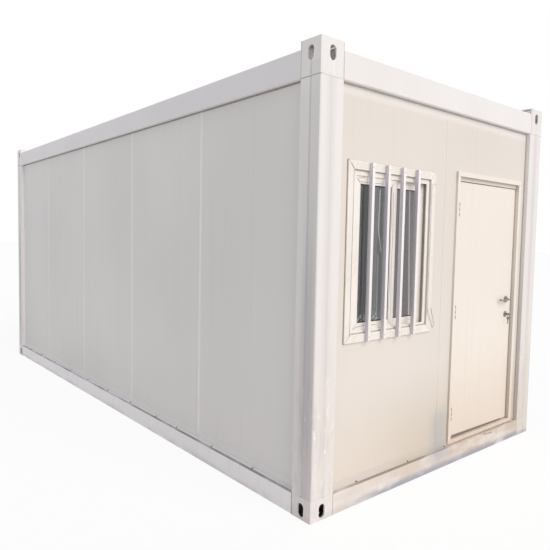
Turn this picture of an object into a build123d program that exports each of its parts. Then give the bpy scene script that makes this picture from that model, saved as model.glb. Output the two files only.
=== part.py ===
from build123d import *
import os

# A flat-pack container cabin with a door and a barred window in one end, in millimetres.
# The origin is on the ground under the middle of the cabin. +X is to the right seen from the
# door end, +Y runs to the back end and +Z is up. Pieces of an end or a side are drawn with X
# along the wall, Y as the depth behind its outer face and Z above the ground, and then placed.

# Overall box
LENGTH = 5890.0
WIDTH = 2660.0
HEIGHT = 2800.0

# Corner posts, folded from sheet
POST_END = 190.0
POST_SIDE = 168.0
POST_SHEET = 4.0
POST_BEND = 6.0
POST_POCKET = 40.0
GROOVE_WIDTH = 30.0
GROOVE_DEPTH = 5.0
GROOVE_PLACE_SHARE = 0.5

# Corner fittings, welded from plate
TOP_FITTING = 210.0
FITTING_PLATE = 10.0
FITTING_BEND = 4.0
HOLE_WIDTH = 50.0
HOLE_HEIGHT = 85.0
TOP_HOLE_DROP = 78.0
BASE_HOLE_RISE = 56.0
PLATE_SLOT_LENGTH = 110.0
PLATE_SLOT_WIDTH = 60.0
FITTING_STEP_WIDTH = 15.0
FITTING_STEP_DEPTH = 3.0

# Frame beams, folded from sheet
TOP_BEAM = 165.0
BASE_BEAM = 138.0
BEAM_SHEET = 4.0
BEAM_BEND = 6.0
BEAM_LIP = 60.0

# Sandwich wall panels
PANEL_MODULE = 1150.0
PANEL_THICK = 75.0
PANEL_RECESS = 35.0
PANEL_GAP = 1.0
PANEL_BEVEL = 3.0
PANEL_LEAST = 150.0

# Flashing round the foot of the walls
FLASHING_RISE = 45.0
FLASHING_FOOT = 20.0
FLASHING_SHEET = 2.0

# Floor
JOIST_HEIGHT = 100.0
JOIST_FLANGE = 50.0
JOIST_SHEET = 4.0
JOIST_PITCH = 800.0
DECK_THICK = 18.0

# Roof
PURLIN_HEIGHT = 80.0
PURLIN_FLANGE = 45.0
PURLIN_SHEET = 3.0
PURLIN_PITCH = 950.0
CEILING_THICK = 12.0
ROOF_SHEET = 2.0
ROOF_RIB_HEIGHT = 30.0
ROOF_RIB_PITCH = 260.0
ROOF_RIB_TOP = 40.0
ROOF_RIB_FOOT = 90.0
ROOF_CLEARANCE = 2.0

# Doorway, placed from the right edge of the door end and from the eaves
DOOR_MARGIN = 268.0
DOOR_WIDTH = 950.0
DOOR_DROP = 405.0
DOOR_STRIP = 142.0
DOOR_FACE = 35.0
DOOR_HEAD_STRIP = 27.0
DOOR_HEAD_SETBACK = 26.0
DOOR_COVER = 22.0
DOOR_PROUD = 15.0
DOOR_STOP = 15.0
DOOR_STOP_THICK = 11.0
THRESHOLD_HEIGHT = 30.0
THRESHOLD_BEVEL = 4.0

# Door leaf and its running gaps
LEAF_THICK = 45.0
LEAF_SETBACK = 28.0
LEAF_HINGE_GAP = 6.0
LEAF_LOCK_GAP = 8.0
LEAF_TOP_GAP = 7.0
LEAF_FOOT_GAP = 10.0
LEAF_ROUND = 2.0

# Hinges
HINGE_HEIGHT = 115.0
HINGE_RADIUS = 9.0
HINGE_STANDOFF = 0.5
HINGE_PIN_RADIUS = 4.0
HINGE_PIN_PLAY = 0.05
HINGE_SPLIT = 1.0
HINGE_PLATE = 2.5
HINGE_PLATE_WIDTH = 34.0
HINGE_WEB = 4.0
HINGE_HEIGHT_SHARES = (0.10, 0.50, 0.893)

# Lock and lever handle
HANDLE_HEIGHT = 1200.0
HANDLE_BACKSET = 82.0
LEVER_RADIUS = 8.0
LEVER_REACH = 36.0
LEVER_LENGTH = 122.0
LEVER_RETURN = 20.0
LEVER_BEND = 16.0
LEVER_PLAY = 0.5
SPINDLE_RADIUS = 6.0
ROSE_RADIUS = 27.0
ROSE_THICK = 8.0
ROSE_EDGE = 2.0
KEYHOLE_DROP = 125.0
KEY_BARREL_RADIUS = 11.0
KEY_ROSE_RADIUS = 24.0
KEY_ROSE_THICK = 6.0

# Sliding window, between the left post and the panel joint, placed from the eaves
WINDOW_POST_MARGIN = 85.0
WINDOW_JOINT_MARGIN = 135.0
WINDOW_HEIGHT = 1115.0
WINDOW_DROP = 442.0
WINDOW_FACE = 52.0
WINDOW_LEDGE = 33.0
WINDOW_FOOT_LEDGE = 20.0
WINDOW_COVER = 20.0
WINDOW_PROUD = 13.0
WINDOW_BEVEL = 2.0
TRACK_WEB = 6.0
TRACK_BITE = 12.0
SASH_THICK = 20.0
SASH_STILE = 57.0
SASH_MEETING = 90.0
SASH_GAP = 3.0
SASH_PLAY = 2.0
SASH_TOP_GAP = 4.0
SASH_SIDE_GAP = 0.3
SASH_BEVEL = 2.0
PANE_THICK = 5.0
PANE_BITE = 8.0

# One overrun serves all cuts
OVERRUN = 20.0

# Levels and depths that follow from the sizes above
EAVES = HEIGHT - TOP_FITTING
INNER = PANEL_RECESS + PANEL_THICK
FLOOR_SEAT = BASE_BEAM - BEAM_SHEET
PURLIN_SEAT = EAVES + BEAM_SHEET
DOOR_RIGHT = WIDTH - DOOR_MARGIN
DOOR_LEFT = DOOR_RIGHT - DOOR_WIDTH
DOOR_TOP = EAVES - DOOR_DROP
FRONT_JOINT = DOOR_LEFT - DOOR_STRIP
DOOR_FRONT = PANEL_RECESS - DOOR_PROUD
LEAF_FRONT = DOOR_FRONT + LEAF_SETBACK
LEAF_BACK = LEAF_FRONT + LEAF_THICK
LEAF_LEFT = DOOR_LEFT + DOOR_FACE + LEAF_HINGE_GAP
LEAF_RIGHT = DOOR_RIGHT - DOOR_FACE - LEAF_LOCK_GAP
LEAF_FOOT = BASE_BEAM + THRESHOLD_HEIGHT + LEAF_FOOT_GAP
LEAF_TOP = DOOR_TOP - DOOR_FACE - DOOR_HEAD_STRIP - LEAF_TOP_GAP
HINGE_X = DOOR_LEFT + DOOR_FACE + HINGE_RADIUS + HINGE_STANDOFF
HINGE_DEPTH = LEAF_FRONT - HINGE_RADIUS - HINGE_STANDOFF
HANDLE_X = LEAF_RIGHT - HANDLE_BACKSET
KEYHOLE_HEIGHT = HANDLE_HEIGHT - KEYHOLE_DROP
WINDOW_LEFT = POST_END + WINDOW_POST_MARGIN
WINDOW_WIDTH = FRONT_JOINT - WINDOW_JOINT_MARGIN - WINDOW_LEFT
WINDOW_FOOT = EAVES - WINDOW_DROP - WINDOW_HEIGHT

LOW = (Align.MIN, Align.MIN, Align.MIN)
nodes = {}


def block(low, high):
    """A box between its lowest and its highest corner."""
    size = [b - a for a, b in zip(low, high)]
    return Pos(*low) * Box(*size, align=LOW)


def run_along(points, start, end):
    """An outline of (depth, height) points drawn out along the wall."""
    outline = Plane.YZ * make_face(Polyline(*points, close=True))
    return Pos(start, 0, 0) * extrude(outline, amount=end - start)


def run_up(points, foot, top):
    """An outline in plan drawn up from one level to another."""
    return Pos(0, 0, foot) * extrude(make_face(Polyline(*points, close=True)), amount=top - foot)


def rod(radius, x, height, front, back):
    """A round bar along the depth, from a front depth to a back depth."""
    bar = extrude(Circle(radius), amount=back - front)
    return Pos(x, front, height) * Rot(-90, 0, 0) * bar


def on_front(shape):
    """Place a piece drawn for the door end."""
    return Pos(-WIDTH / 2, -LENGTH / 2, 0) * shape


def on_back(shape):
    """Place a piece drawn for the back end."""
    return Rot(0, 0, 180) * on_front(shape)


def on_right(shape):
    """Place a piece drawn for the right side, whose run starts at the door end."""
    return Rot(0, 0, 90) * Pos(-LENGTH / 2, -WIDTH / 2, 0) * shape


def on_left(shape):
    """Place a piece drawn for the left side, whose run starts at the door end."""
    return mirror(on_right(shape), about=Plane.YZ)


def keep(name, *shapes):
    """Keep a node's solids under its name."""
    solids = [solid for shape in shapes for solid in shape.solids()]
    nodes[name] = solids[0] if len(solids) == 1 else Compound(children=solids)


def keep_corners(name, *shapes):
    """Keep pieces drawn for the front left corner at all four corners."""
    front = [on_front(shape) for shape in shapes]
    back = [mirror(shape, about=Plane.XZ) for shape in front]
    keep(name + "_front_left", *front)
    keep(name + "_front_right", *[mirror(shape, about=Plane.YZ) for shape in front])
    keep(name + "_back_left", *back)
    keep(name + "_back_right", *[mirror(shape, about=Plane.YZ) for shape in back])


def keep_sides(name, end_piece, side_piece):
    """Keep one piece on both ends and another on both long sides."""
    keep(name + "_front", on_front(end_piece))
    keep(name + "_back", on_back(end_piece))
    keep(name + "_left", on_left(side_piece))
    keep(name + "_right", on_right(side_piece))


def groove(middle):
    """Three points of a shallow groove, as (place along the face, depth)."""
    half = GROOVE_WIDTH / 2
    return [(middle - half, 0), (middle, GROOVE_DEPTH), (middle + half, 0)]


def corner_post():
    """Folded hollow post with a grooved face on each side and pockets that hold the wall panels."""
    end_groove = groove(POST_END * GROOVE_PLACE_SHARE)
    side_groove = [(depth, place) for place, depth in groove(POST_SIDE * GROOVE_PLACE_SHARE)]
    end_pocket = POST_END - POST_POCKET
    side_pocket = POST_SIDE - POST_POCKET
    inside = [(POST_END, 0), (POST_END, PANEL_RECESS), (end_pocket, PANEL_RECESS), (end_pocket, INNER)]
    inside += [(INNER, INNER), (INNER, side_pocket), (PANEL_RECESS, side_pocket)]
    inside += [(PANEL_RECESS, POST_SIDE), (0, POST_SIDE)]
    outline = make_face(Polyline((0, 0), *end_groove, *inside, *reversed(side_groove), close=True))
    section = outline - offset(outline, -POST_SHEET, kind=Kind.INTERSECTION)
    post = Pos(0, 0, BASE_BEAM) * extrude(section, amount=EAVES - BASE_BEAM)
    upright = post.edges().filter_by(Axis.Z)
    outer = [e for e in upright if (e.center().X, e.center().Y) in ((0, 0), (POST_END, 0), (0, POST_SIDE))]
    return fillet(outer, POST_BEND)


def hole_bar(reach):
    """Obround bar for a hole that stands upright in a face, drawn along X."""
    return Rot(0, 90, 0) * extrude(SlotOverall(HOLE_HEIGHT, HOLE_WIDTH), amount=reach, both=True)


def corner_fitting(foot, top, inner_top, hole_height, slot_height):
    """Welded plates, the outer two with a hole first, the top or the bottom one with a slot."""
    end_inside = POST_END - FITTING_PLATE
    side_inside = POST_SIDE - FITTING_PLATE
    inner_foot = foot + FITTING_PLATE
    lid_foot = top - FITTING_PLATE
    reach = FITTING_PLATE + OVERRUN
    side_plate = block((0, 0, foot), (FITTING_PLATE, POST_SIDE, top))
    outer_edge = side_plate.edges().filter_by(Axis.Z).group_by(Axis.X)[0].sort_by(Axis.Y)[0]
    side_hole = Pos(0, POST_SIDE / 2, hole_height) * hole_bar(reach)
    end_plate = block((FITTING_PLATE, 0, foot), (POST_END, FITTING_PLATE, top))
    end_hole = Pos(POST_END / 2, 0, hole_height) * Rot(0, 0, 90) * hole_bar(reach)
    plates = [fillet(outer_edge, FITTING_BEND) - side_hole, end_plate - end_hole]
    plates.append(block((end_inside, FITTING_PLATE, inner_foot), (POST_END, side_inside, min(inner_top, lid_foot))))
    plates.append(block((FITTING_PLATE, side_inside, inner_foot), (POST_END, POST_SIDE, lid_foot)))
    slot = extrude(SlotOverall(PLATE_SLOT_LENGTH, PLATE_SLOT_WIDTH), amount=reach, both=True)
    slot = Pos(POST_END / 2, POST_SIDE / 2, slot_height) * slot
    for level in (foot, lid_foot):
        lid = block((FITTING_PLATE, FITTING_PLATE, level), (POST_END, POST_SIDE, level + FITTING_PLATE))
        plates.append(lid - slot)
    return plates


def channel(low, high, foot_flange, head_flange, sheet):
    """Outline of a folded channel with its web at the outer face and a flange at foot and head."""
    lower = [(0, low), (foot_flange, low), (foot_flange, low + sheet), (sheet, low + sheet)]
    upper = [(sheet, high - sheet), (head_flange, high - sheet), (head_flange, high), (0, high)]
    return lower + upper


def beam(outline, start, end):
    """A folded beam with rounded bends along its outer face."""
    bar = run_along(outline, start, end)
    return fillet(bar.edges().filter_by(Axis.X).group_by(Axis.Y)[0], BEAM_BEND)


def frame():
    """Posts, corner fittings and beams."""
    keep_corners("corner_post", corner_post())
    top_hole = HEIGHT - TOP_HOLE_DROP
    step_left = POST_END - FITTING_STEP_WIDTH
    step = block((step_left, -OVERRUN, EAVES - OVERRUN), (POST_END + OVERRUN, FITTING_STEP_DEPTH, HEIGHT + OVERRUN))
    end_groove = groove(POST_END * GROOVE_PLACE_SHARE)
    side_groove = [(depth, place) for place, depth in groove(POST_SIDE * GROOVE_PLACE_SHARE)]
    cuts = step + run_up(end_groove, EAVES, top_hole) + run_up(side_groove, EAVES, top_hole)
    side_plate, end_plate, *others = corner_fitting(EAVES, HEIGHT, EAVES + TOP_BEAM, top_hole, HEIGHT)
    keep_corners("top_fitting_side_plate", side_plate - cuts)
    keep_corners("top_fitting_end_plate", end_plate - cuts)
    keep_corners("top_fitting", *[plate - cuts for plate in others])
    keep_corners("bottom_fitting", *corner_fitting(0, BASE_BEAM, BASE_BEAM, BASE_HOLE_RISE, 0))
    upper = channel(EAVES, EAVES + TOP_BEAM, INNER, BEAM_LIP, BEAM_SHEET)
    lower = channel(0, BASE_BEAM, BEAM_LIP, INNER, BEAM_SHEET)
    for name, outline in (("top_beam", upper), ("bottom_beam", lower)):
        end_piece = beam(outline, POST_END, WIDTH - POST_END)
        keep_sides(name, end_piece, beam(outline, POST_SIDE, LENGTH - POST_SIDE))


def spread(span, pitch):
    """Evenly spaced places along a span, about one pitch apart, none of them at its ends."""
    count = max(2, round(span / pitch))
    return [span * (i + 0.5) / count - span / 2 for i in range(count)]


def crossers(low, high, flange, sheet, pitch):
    """Channels across the cabin, from one side beam's web to the other's."""
    outline = channel(low, high, flange, flange, sheet)
    bar = run_along(outline, BEAM_SHEET - WIDTH / 2, WIDTH / 2 - BEAM_SHEET)
    return [Pos(0, y - flange / 2, 0) * bar for y in spread(LENGTH - 2 * POST_SIDE, pitch)]


def board(low, high, rebate_low, rebate_high):
    """A board that fills the room from wall to wall, rebated over the corner fittings."""
    half_x = WIDTH / 2 - INNER
    half_y = LENGTH / 2 - INNER
    result = block((-half_x, -half_y, low), (half_x, half_y, high))
    for sx in (-1, 1):
        for sy in (-1, 1):
            corner_x = sorted((sx * (WIDTH / 2 - POST_END), sx * WIDTH / 2))
            corner_y = sorted((sy * (LENGTH / 2 - POST_SIDE), sy * LENGTH / 2))
            cut_low = (corner_x[0], corner_y[0], rebate_low)
            result -= block(cut_low, (corner_x[1], corner_y[1], rebate_high))
    return result


def roof_sheet():
    """Ribbed sheet on the purlins, notched round the corner fittings."""
    seat = PURLIN_SEAT + PURLIN_HEIGHT
    half = WIDTH / 2 - BEAM_SHEET - ROOF_CLEARANCE
    line = [(-half, 0)]
    for x in spread(2 * half, ROOF_RIB_PITCH):
        foot, top = ROOF_RIB_FOOT / 2, ROOF_RIB_TOP / 2
        line += [(x - foot, 0), (x - top, ROOF_RIB_HEIGHT), (x + top, ROOF_RIB_HEIGHT), (x + foot, 0)]
    line += [(half, 0)]
    outline = [(x, seat + z) for x, z in line]
    outline += [(x, seat + z + ROOF_SHEET) for x, z in reversed(line)]
    reach = LENGTH / 2 - BEAM_SHEET - ROOF_CLEARANCE
    sheet = extrude(Plane.XZ * make_face(Polyline(*outline, close=True)), amount=reach, both=True)
    notch_x = WIDTH / 2 - POST_END - ROOF_CLEARANCE
    notch_y = LENGTH / 2 - POST_SIDE - ROOF_CLEARANCE
    for sx in (-1, 1):
        for sy in (-1, 1):
            span_x = sorted((sx * notch_x, sx * WIDTH / 2))
            span_y = sorted((sy * notch_y, sy * LENGTH / 2))
            sheet -= block((span_x[0], span_y[0], EAVES), (span_x[1], span_y[1], HEIGHT))
    return sheet


def floor_and_roof():
    """Joists and deck below, purlins, ceiling and ribbed sheet above."""
    keep("floor_joists", *crossers(FLOOR_SEAT - JOIST_HEIGHT, FLOOR_SEAT, JOIST_FLANGE, JOIST_SHEET, JOIST_PITCH))
    keep("floor_deck", board(FLOOR_SEAT, FLOOR_SEAT + DECK_THICK, FLOOR_SEAT - OVERRUN, BASE_BEAM))
    purlin_top = PURLIN_SEAT + PURLIN_HEIGHT
    keep("roof_purlins", *crossers(PURLIN_SEAT, purlin_top, PURLIN_FLANGE, PURLIN_SHEET, PURLIN_PITCH))
    keep("ceiling", board(PURLIN_SEAT - CEILING_THICK, PURLIN_SEAT, EAVES, PURLIN_SEAT + OVERRUN))
    keep("roof_sheet", roof_sheet())


def wall_panel(start, end, low=BASE_BEAM, high=EAVES, bevel_start=True, bevel_end=True):
    """A sandwich panel, bevelled along the upright edges where it meets the next one."""
    slab = block((start, PANEL_RECESS, low), (end, INNER, high))
    edges = slab.edges().filter_by(Axis.Z).group_by(Axis.Y)[0].sort_by(Axis.X)
    chosen = [edge for edge, wanted in zip(edges, (bevel_start, bevel_end)) if wanted]
    return chamfer(chosen, PANEL_BEVEL) if chosen else slab


def panel_joints(span, start):
    """Places of the panel edges along a wall: whole panels from the start, the last cut to fit."""
    edges = [start]
    while span - start - edges[-1] > PANEL_MODULE + PANEL_LEAST:
        edges.append(edges[-1] + PANEL_MODULE)
    return edges + [span - start]


def panel_row(span, start):
    """All the panels of a plain wall."""
    edges = panel_joints(span, start)
    slack = PANEL_GAP / 2
    row = []
    for i, (left, right) in enumerate(zip(edges, edges[1:])):
        first = left if i == 0 else left + slack
        last = right if i == len(edges) - 2 else right - slack
        row.append(wall_panel(first, last))
    return row


def walls():
    """Panels of the four walls and the flashing at their foot."""
    end_start = POST_END - POST_POCKET
    side_start = POST_SIDE - POST_POCKET
    side_row = panel_row(LENGTH, side_start)
    keep("left_wall_panels", *[on_left(panel) for panel in side_row])
    keep("right_wall_panels", *[on_right(panel) for panel in side_row])
    keep("back_wall_panels", *[on_back(panel) for panel in panel_row(WIDTH, end_start)])
    window_hole_low = (WINDOW_LEFT + WINDOW_COVER, -OVERRUN, WINDOW_FOOT + WINDOW_COVER)
    window_right = WINDOW_LEFT + WINDOW_WIDTH - WINDOW_COVER
    window_top = WINDOW_FOOT + WINDOW_HEIGHT - WINDOW_COVER
    window_hole = block(window_hole_low, (window_right, INNER + OVERRUN, window_top))
    keep("front_window_panel", on_front(wall_panel(end_start, FRONT_JOINT - PANEL_GAP / 2) - window_hole))
    hole_left = DOOR_LEFT + DOOR_COVER
    hole_right = DOOR_RIGHT - DOOR_COVER
    strip = wall_panel(FRONT_JOINT + PANEL_GAP / 2, hole_left, bevel_end=False)
    keep("front_wall_hinge_side", on_front(strip))
    over = wall_panel(hole_left, hole_right, low=DOOR_TOP - DOOR_COVER, bevel_start=False, bevel_end=False)
    keep("front_wall_over_door", on_front(over))
    strip = wall_panel(hole_right, WIDTH - end_start, bevel_start=False, bevel_end=False)
    keep("front_wall_lock_side", on_front(strip))
    front = PANEL_RECESS - FLASHING_FOOT
    face = PANEL_RECESS - FLASHING_SHEET
    foot_top = BASE_BEAM + FLASHING_SHEET
    head = BASE_BEAM + FLASHING_RISE
    angle = [(front, BASE_BEAM), (PANEL_RECESS, BASE_BEAM), (PANEL_RECESS, head)]
    angle += [(face, head), (face, foot_top), (front, foot_top)]
    strips = [on_front(run_along(angle, POST_END, DOOR_LEFT))]
    strips.append(on_front(run_along(angle, DOOR_RIGHT, WIDTH - POST_END)))
    strips.append(on_back(run_along(angle, POST_END, WIDTH - POST_END)))
    side_strip = run_along(angle, POST_SIDE, LENGTH - POST_SIDE)
    keep("base_flashing", *strips, on_left(side_strip), on_right(side_strip))


def door_frame_outline():
    """Section of the door frame without its stop, as (distance in from its outer edge, depth)."""
    outline = [(0, DOOR_FRONT), (DOOR_FACE, DOOR_FRONT), (DOOR_FACE, INNER)]
    return outline + [(DOOR_COVER, INNER), (DOOR_COVER, PANEL_RECESS), (0, PANEL_RECESS)]


def hinge_places():
    """Heights of the middles of the hinges."""
    return [LEAF_FOOT + share * (LEAF_TOP - LEAF_FOOT) for share in HINGE_HEIGHT_SHARES]


def upright_rod(radius, low, high):
    """A round bar on the hinge line."""
    return Pos(HINGE_X, HINGE_DEPTH, low) * extrude(Circle(radius), amount=high - low)


def frame_plate(height):
    """Place of a hinge's plate in the reveal of the hinge jamb."""
    reveal = DOOR_LEFT + DOOR_FACE
    low = (reveal - HINGE_PLATE, HINGE_DEPTH - HINGE_WEB / 2, height - HINGE_HEIGHT / 2)
    return block(low, (reveal, HINGE_DEPTH + HINGE_PLATE_WIDTH, height - HINGE_SPLIT / 2))


def leaf_plate(height):
    """Place of a hinge's plate in the face of the leaf."""
    low = (LEAF_LEFT, LEAF_FRONT, height + HINGE_SPLIT / 2)
    return block(low, (LEAF_LEFT + HINGE_PLATE_WIDTH, LEAF_FRONT + HINGE_PLATE, height + HINGE_HEIGHT / 2))


def frame_hinge(height):
    """Lower knuckle with its pin, joined to the plate in the jamb."""
    low = height - HINGE_HEIGHT / 2
    split = height - HINGE_SPLIT / 2
    half_web = HINGE_WEB / 2
    web_low = (DOOR_LEFT + DOOR_FACE - HINGE_PLATE, HINGE_DEPTH - half_web, low)
    web = block(web_low, (HINGE_X, HINGE_DEPTH + half_web, split))
    pin = upright_rod(HINGE_PIN_RADIUS, split, height + HINGE_HEIGHT / 2)
    return upright_rod(HINGE_RADIUS, low, split) + pin + web + frame_plate(height)


def leaf_hinge(height):
    """Upper knuckle that turns on the pin, joined to the plate in the leaf."""
    split = height + HINGE_SPLIT / 2
    top = height + HINGE_HEIGHT / 2
    half_web = HINGE_WEB / 2
    web = block((HINGE_X - half_web, HINGE_DEPTH, split), (HINGE_X + half_web, LEAF_FRONT + HINGE_PLATE, top))
    bore = upright_rod(HINGE_PIN_RADIUS + HINGE_PIN_PLAY, split - OVERRUN, top + OVERRUN)
    return upright_rod(HINGE_RADIUS, split, top) + web + leaf_plate(height) - bore


def door_frame():
    """Jambs and head mitred at the top corners, and the threshold that the jambs stand on."""
    outline = door_frame_outline()
    reach = DOOR_FACE + DOOR_STOP + OVERRUN
    stop_front = INNER - DOOR_STOP_THICK
    sill_top = BASE_BEAM + THRESHOLD_HEIGHT
    jamb = run_up(outline, sill_top, DOOR_TOP)
    jamb += block((DOOR_FACE, stop_front, sill_top), (DOOR_FACE + DOOR_STOP, INNER, DOOR_TOP))
    mitre = [(0, DOOR_TOP), (reach, DOOR_TOP - reach), (reach, DOOR_TOP)]
    wedge = extrude(Plane.XZ * make_face(Polyline(*mitre, close=True)), amount=INNER + OVERRUN, both=True)
    jamb -= wedge
    hinge_jamb = Pos(DOOR_LEFT, 0, 0) * jamb
    lock_jamb = Pos(DOOR_RIGHT, 0, 0) * mirror(jamb, about=Plane.YZ)
    bar = run_along([(depth, DOOR_TOP - inset) for inset, depth in outline], DOOR_LEFT, DOOR_RIGHT)
    left_cut = [(0, DOOR_TOP), (reach, DOOR_TOP - reach), (0, DOOR_TOP - reach)]
    corner = extrude(Plane.XZ * make_face(Polyline(*left_cut, close=True)), amount=INNER + OVERRUN, both=True)
    head = bar - Pos(DOOR_LEFT, 0, 0) * corner - Pos(DOOR_RIGHT, 0, 0) * mirror(corner, about=Plane.YZ)
    left_reveal = DOOR_LEFT + DOOR_FACE
    right_reveal = DOOR_RIGHT - DOOR_FACE
    strip_top = DOOR_TOP - DOOR_FACE
    strip_foot = strip_top - DOOR_HEAD_STRIP
    strip = block((left_reveal, DOOR_FRONT + DOOR_HEAD_SETBACK, strip_foot), (right_reveal, INNER, strip_top))
    strip += block((left_reveal, stop_front, strip_foot - DOOR_STOP), (right_reveal, INNER, strip_foot))
    head += strip - hinge_jamb - lock_jamb
    for height in hinge_places():
        hinge_jamb -= frame_plate(height)
    sill = block((DOOR_LEFT, DOOR_FRONT, BASE_BEAM), (DOOR_RIGHT, PANEL_RECESS, sill_top))
    sill += block((DOOR_LEFT + DOOR_COVER, PANEL_RECESS, BASE_BEAM), (DOOR_RIGHT - DOOR_COVER, INNER, sill_top))
    sill = chamfer(sill.edges().filter_by(Axis.X).group_by(Axis.Y)[0].sort_by(Axis.Z)[-1], THRESHOLD_BEVEL)
    keep("door_hinge_jamb", on_front(hinge_jamb))
    keep("door_lock_jamb", on_front(lock_jamb))
    keep("door_head", on_front(head))
    keep("door_threshold", on_front(sill))
    keep("door_frame_hinges", *[on_front(frame_hinge(height)) for height in hinge_places()])


def lever(face, away):
    """One lever on its neck, from a face of the leaf, on the side that away points to."""
    start = (HANDLE_X, face + away * LEVER_PLAY)
    bar_depth = face + away * LEVER_REACH
    tip_x = HANDLE_X - LEVER_LENGTH
    tip = (tip_x, bar_depth - away * LEVER_RETURN)
    path = FilletPolyline(start, (HANDLE_X, bar_depth), (tip_x, bar_depth), tip, radius=LEVER_BEND)
    section = Plane(origin=path @ 0, z_dir=path % 0) * Circle(LEVER_RADIUS)
    return Pos(0, 0, HANDLE_HEIGHT) * sweep(section, path=path)


def rose(radius, thick, height, face, away):
    """A round plate on a face of the leaf, with a softened rim."""
    plate = rod(radius, HANDLE_X, height, *sorted((face, face + away * thick)))
    rim = plate.edges().filter_by(GeomType.CIRCLE).sort_by(Axis.Y)
    return fillet(rim[0 if away < 0 else -1], ROSE_EDGE)


def door():
    """Leaf with its hinge halves, lock set and lever handle."""
    leaf = block((LEAF_LEFT, LEAF_FRONT, LEAF_FOOT), (LEAF_RIGHT, LEAF_BACK, LEAF_TOP))
    leaf = fillet(leaf.edges().filter_by(Axis.Z), LEAF_ROUND)
    through = (LEAF_FRONT - OVERRUN, LEAF_BACK + OVERRUN)
    leaf -= rod(SPINDLE_RADIUS + LEVER_PLAY, HANDLE_X, HANDLE_HEIGHT, *through)
    leaf -= rod(KEY_BARREL_RADIUS, HANDLE_X, KEYHOLE_HEIGHT, *through)
    for height in hinge_places():
        leaf -= leaf_plate(height)
    keep("door_leaf", on_front(leaf))
    keep("door_leaf_hinges", *[on_front(leaf_hinge(height)) for height in hinge_places()])
    barrel = rod(KEY_BARREL_RADIUS, HANDLE_X, KEYHOLE_HEIGHT, LEAF_FRONT, LEAF_BACK)
    pieces = []
    for face, away in ((LEAF_FRONT, -1), (LEAF_BACK, 1)):
        neck = rod(LEVER_RADIUS + LEVER_PLAY, HANDLE_X, HANDLE_HEIGHT, LEAF_FRONT - OVERRUN, LEAF_BACK + OVERRUN)
        pieces.append(rose(ROSE_RADIUS, ROSE_THICK, HANDLE_HEIGHT, face, away) - neck)
        barrel += rose(KEY_ROSE_RADIUS, KEY_ROSE_THICK, KEYHOLE_HEIGHT, face, away)
    keep("door_lock_set", on_front(barrel), *[on_front(piece) for piece in pieces])
    spindle = rod(SPINDLE_RADIUS, HANDLE_X, HANDLE_HEIGHT, LEAF_FRONT - LEVER_PLAY, LEAF_BACK + LEVER_PLAY)
    keep("door_handle", on_front(lever(LEAF_FRONT, -1) + spindle + lever(LEAF_BACK, 1)))


def window_ring(outer, inner, front, back):
    """A ring between two insets from the window frame's outer edge, each as (sides and head, foot)."""
    right = WINDOW_LEFT + WINDOW_WIDTH
    top = WINDOW_FOOT + WINDOW_HEIGHT
    solid, hollow = [
        block((WINDOW_LEFT + edge, front, WINDOW_FOOT + foot), (right - edge, back, top - edge))
        for edge, foot in (outer, inner)
    ]
    return solid - hollow


def window():
    """Frame with a ledge and a track inside it, two sashes and their panes."""
    inset = WINDOW_FACE + WINDOW_LEDGE
    foot_inset = WINDOW_FACE + WINDOW_FOOT_LEDGE
    edge = inset - TRACK_BITE
    foot_edge = foot_inset - TRACK_BITE
    track_front = PANEL_RECESS + TRACK_WEB
    outer_front = track_front + SASH_PLAY
    inner_front = outer_front + SASH_THICK + SASH_GAP
    track_back = inner_front + SASH_THICK + SASH_PLAY
    flange = window_ring((0, 0), (WINDOW_FACE, WINDOW_FACE), PANEL_RECESS - WINDOW_PROUD, PANEL_RECESS)
    flange = chamfer(flange.faces().sort_by(Axis.Y)[0].outer_wire().edges(), WINDOW_BEVEL)
    body = window_ring((WINDOW_COVER, WINDOW_COVER), (inset, foot_inset), PANEL_RECESS, INNER)
    track = window_ring((edge, foot_edge), (inset, foot_inset), track_front, track_back)
    keep("window_frame", on_front(flange + body - track))
    low_x = WINDOW_LEFT + edge + SASH_SIDE_GAP
    high_x = WINDOW_LEFT + WINDOW_WIDTH - edge - SASH_SIDE_GAP
    foot = WINDOW_FOOT + foot_edge
    top = WINDOW_FOOT + WINDOW_HEIGHT - edge - SASH_TOP_GAP
    middle = WINDOW_LEFT + WINDOW_WIDTH / 2
    places = ((low_x, middle + SASH_MEETING / 2, outer_front), (middle - SASH_MEETING / 2, high_x, inner_front))
    sashes, panes = [], []
    for left, right, sash_front in places:
        slab = block((left, sash_front, foot), (right, sash_front + SASH_THICK, top))
        slab = chamfer(slab.faces().sort_by(Axis.Y)[0].edges(), SASH_BEVEL)
        open_low = (left + SASH_STILE, sash_front - OVERRUN, foot + SASH_STILE)
        open_high = (right - SASH_STILE, sash_front + SASH_THICK + OVERRUN, top - SASH_STILE)
        pane_front = sash_front + (SASH_THICK - PANE_THICK) / 2
        pane_low = (open_low[0] - PANE_BITE, pane_front, open_low[2] - PANE_BITE)
        pane = block(pane_low, (open_high[0] + PANE_BITE, pane_front + PANE_THICK, open_high[2] + PANE_BITE))
        sashes.append(on_front(slab - block(open_low, open_high) - pane))
        panes.append(on_front(pane))
    keep("window_sashes", *sashes)
    keep("window_glass", *panes)


frame()
floor_and_roof()
walls()
door_frame()
door()
window()

os.makedirs("parts", exist_ok=True)
for name, shape in nodes.items():
    export_step(shape, os.path.join("parts", name + ".step"))
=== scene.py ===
import logging
import math
from dataclasses import dataclass
from enum import Enum
from typing import Any, Dict, Iterable, List, Optional, Sequence, Tuple, Union

import bmesh
import bpy
from mathutils import Matrix, Vector


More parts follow.
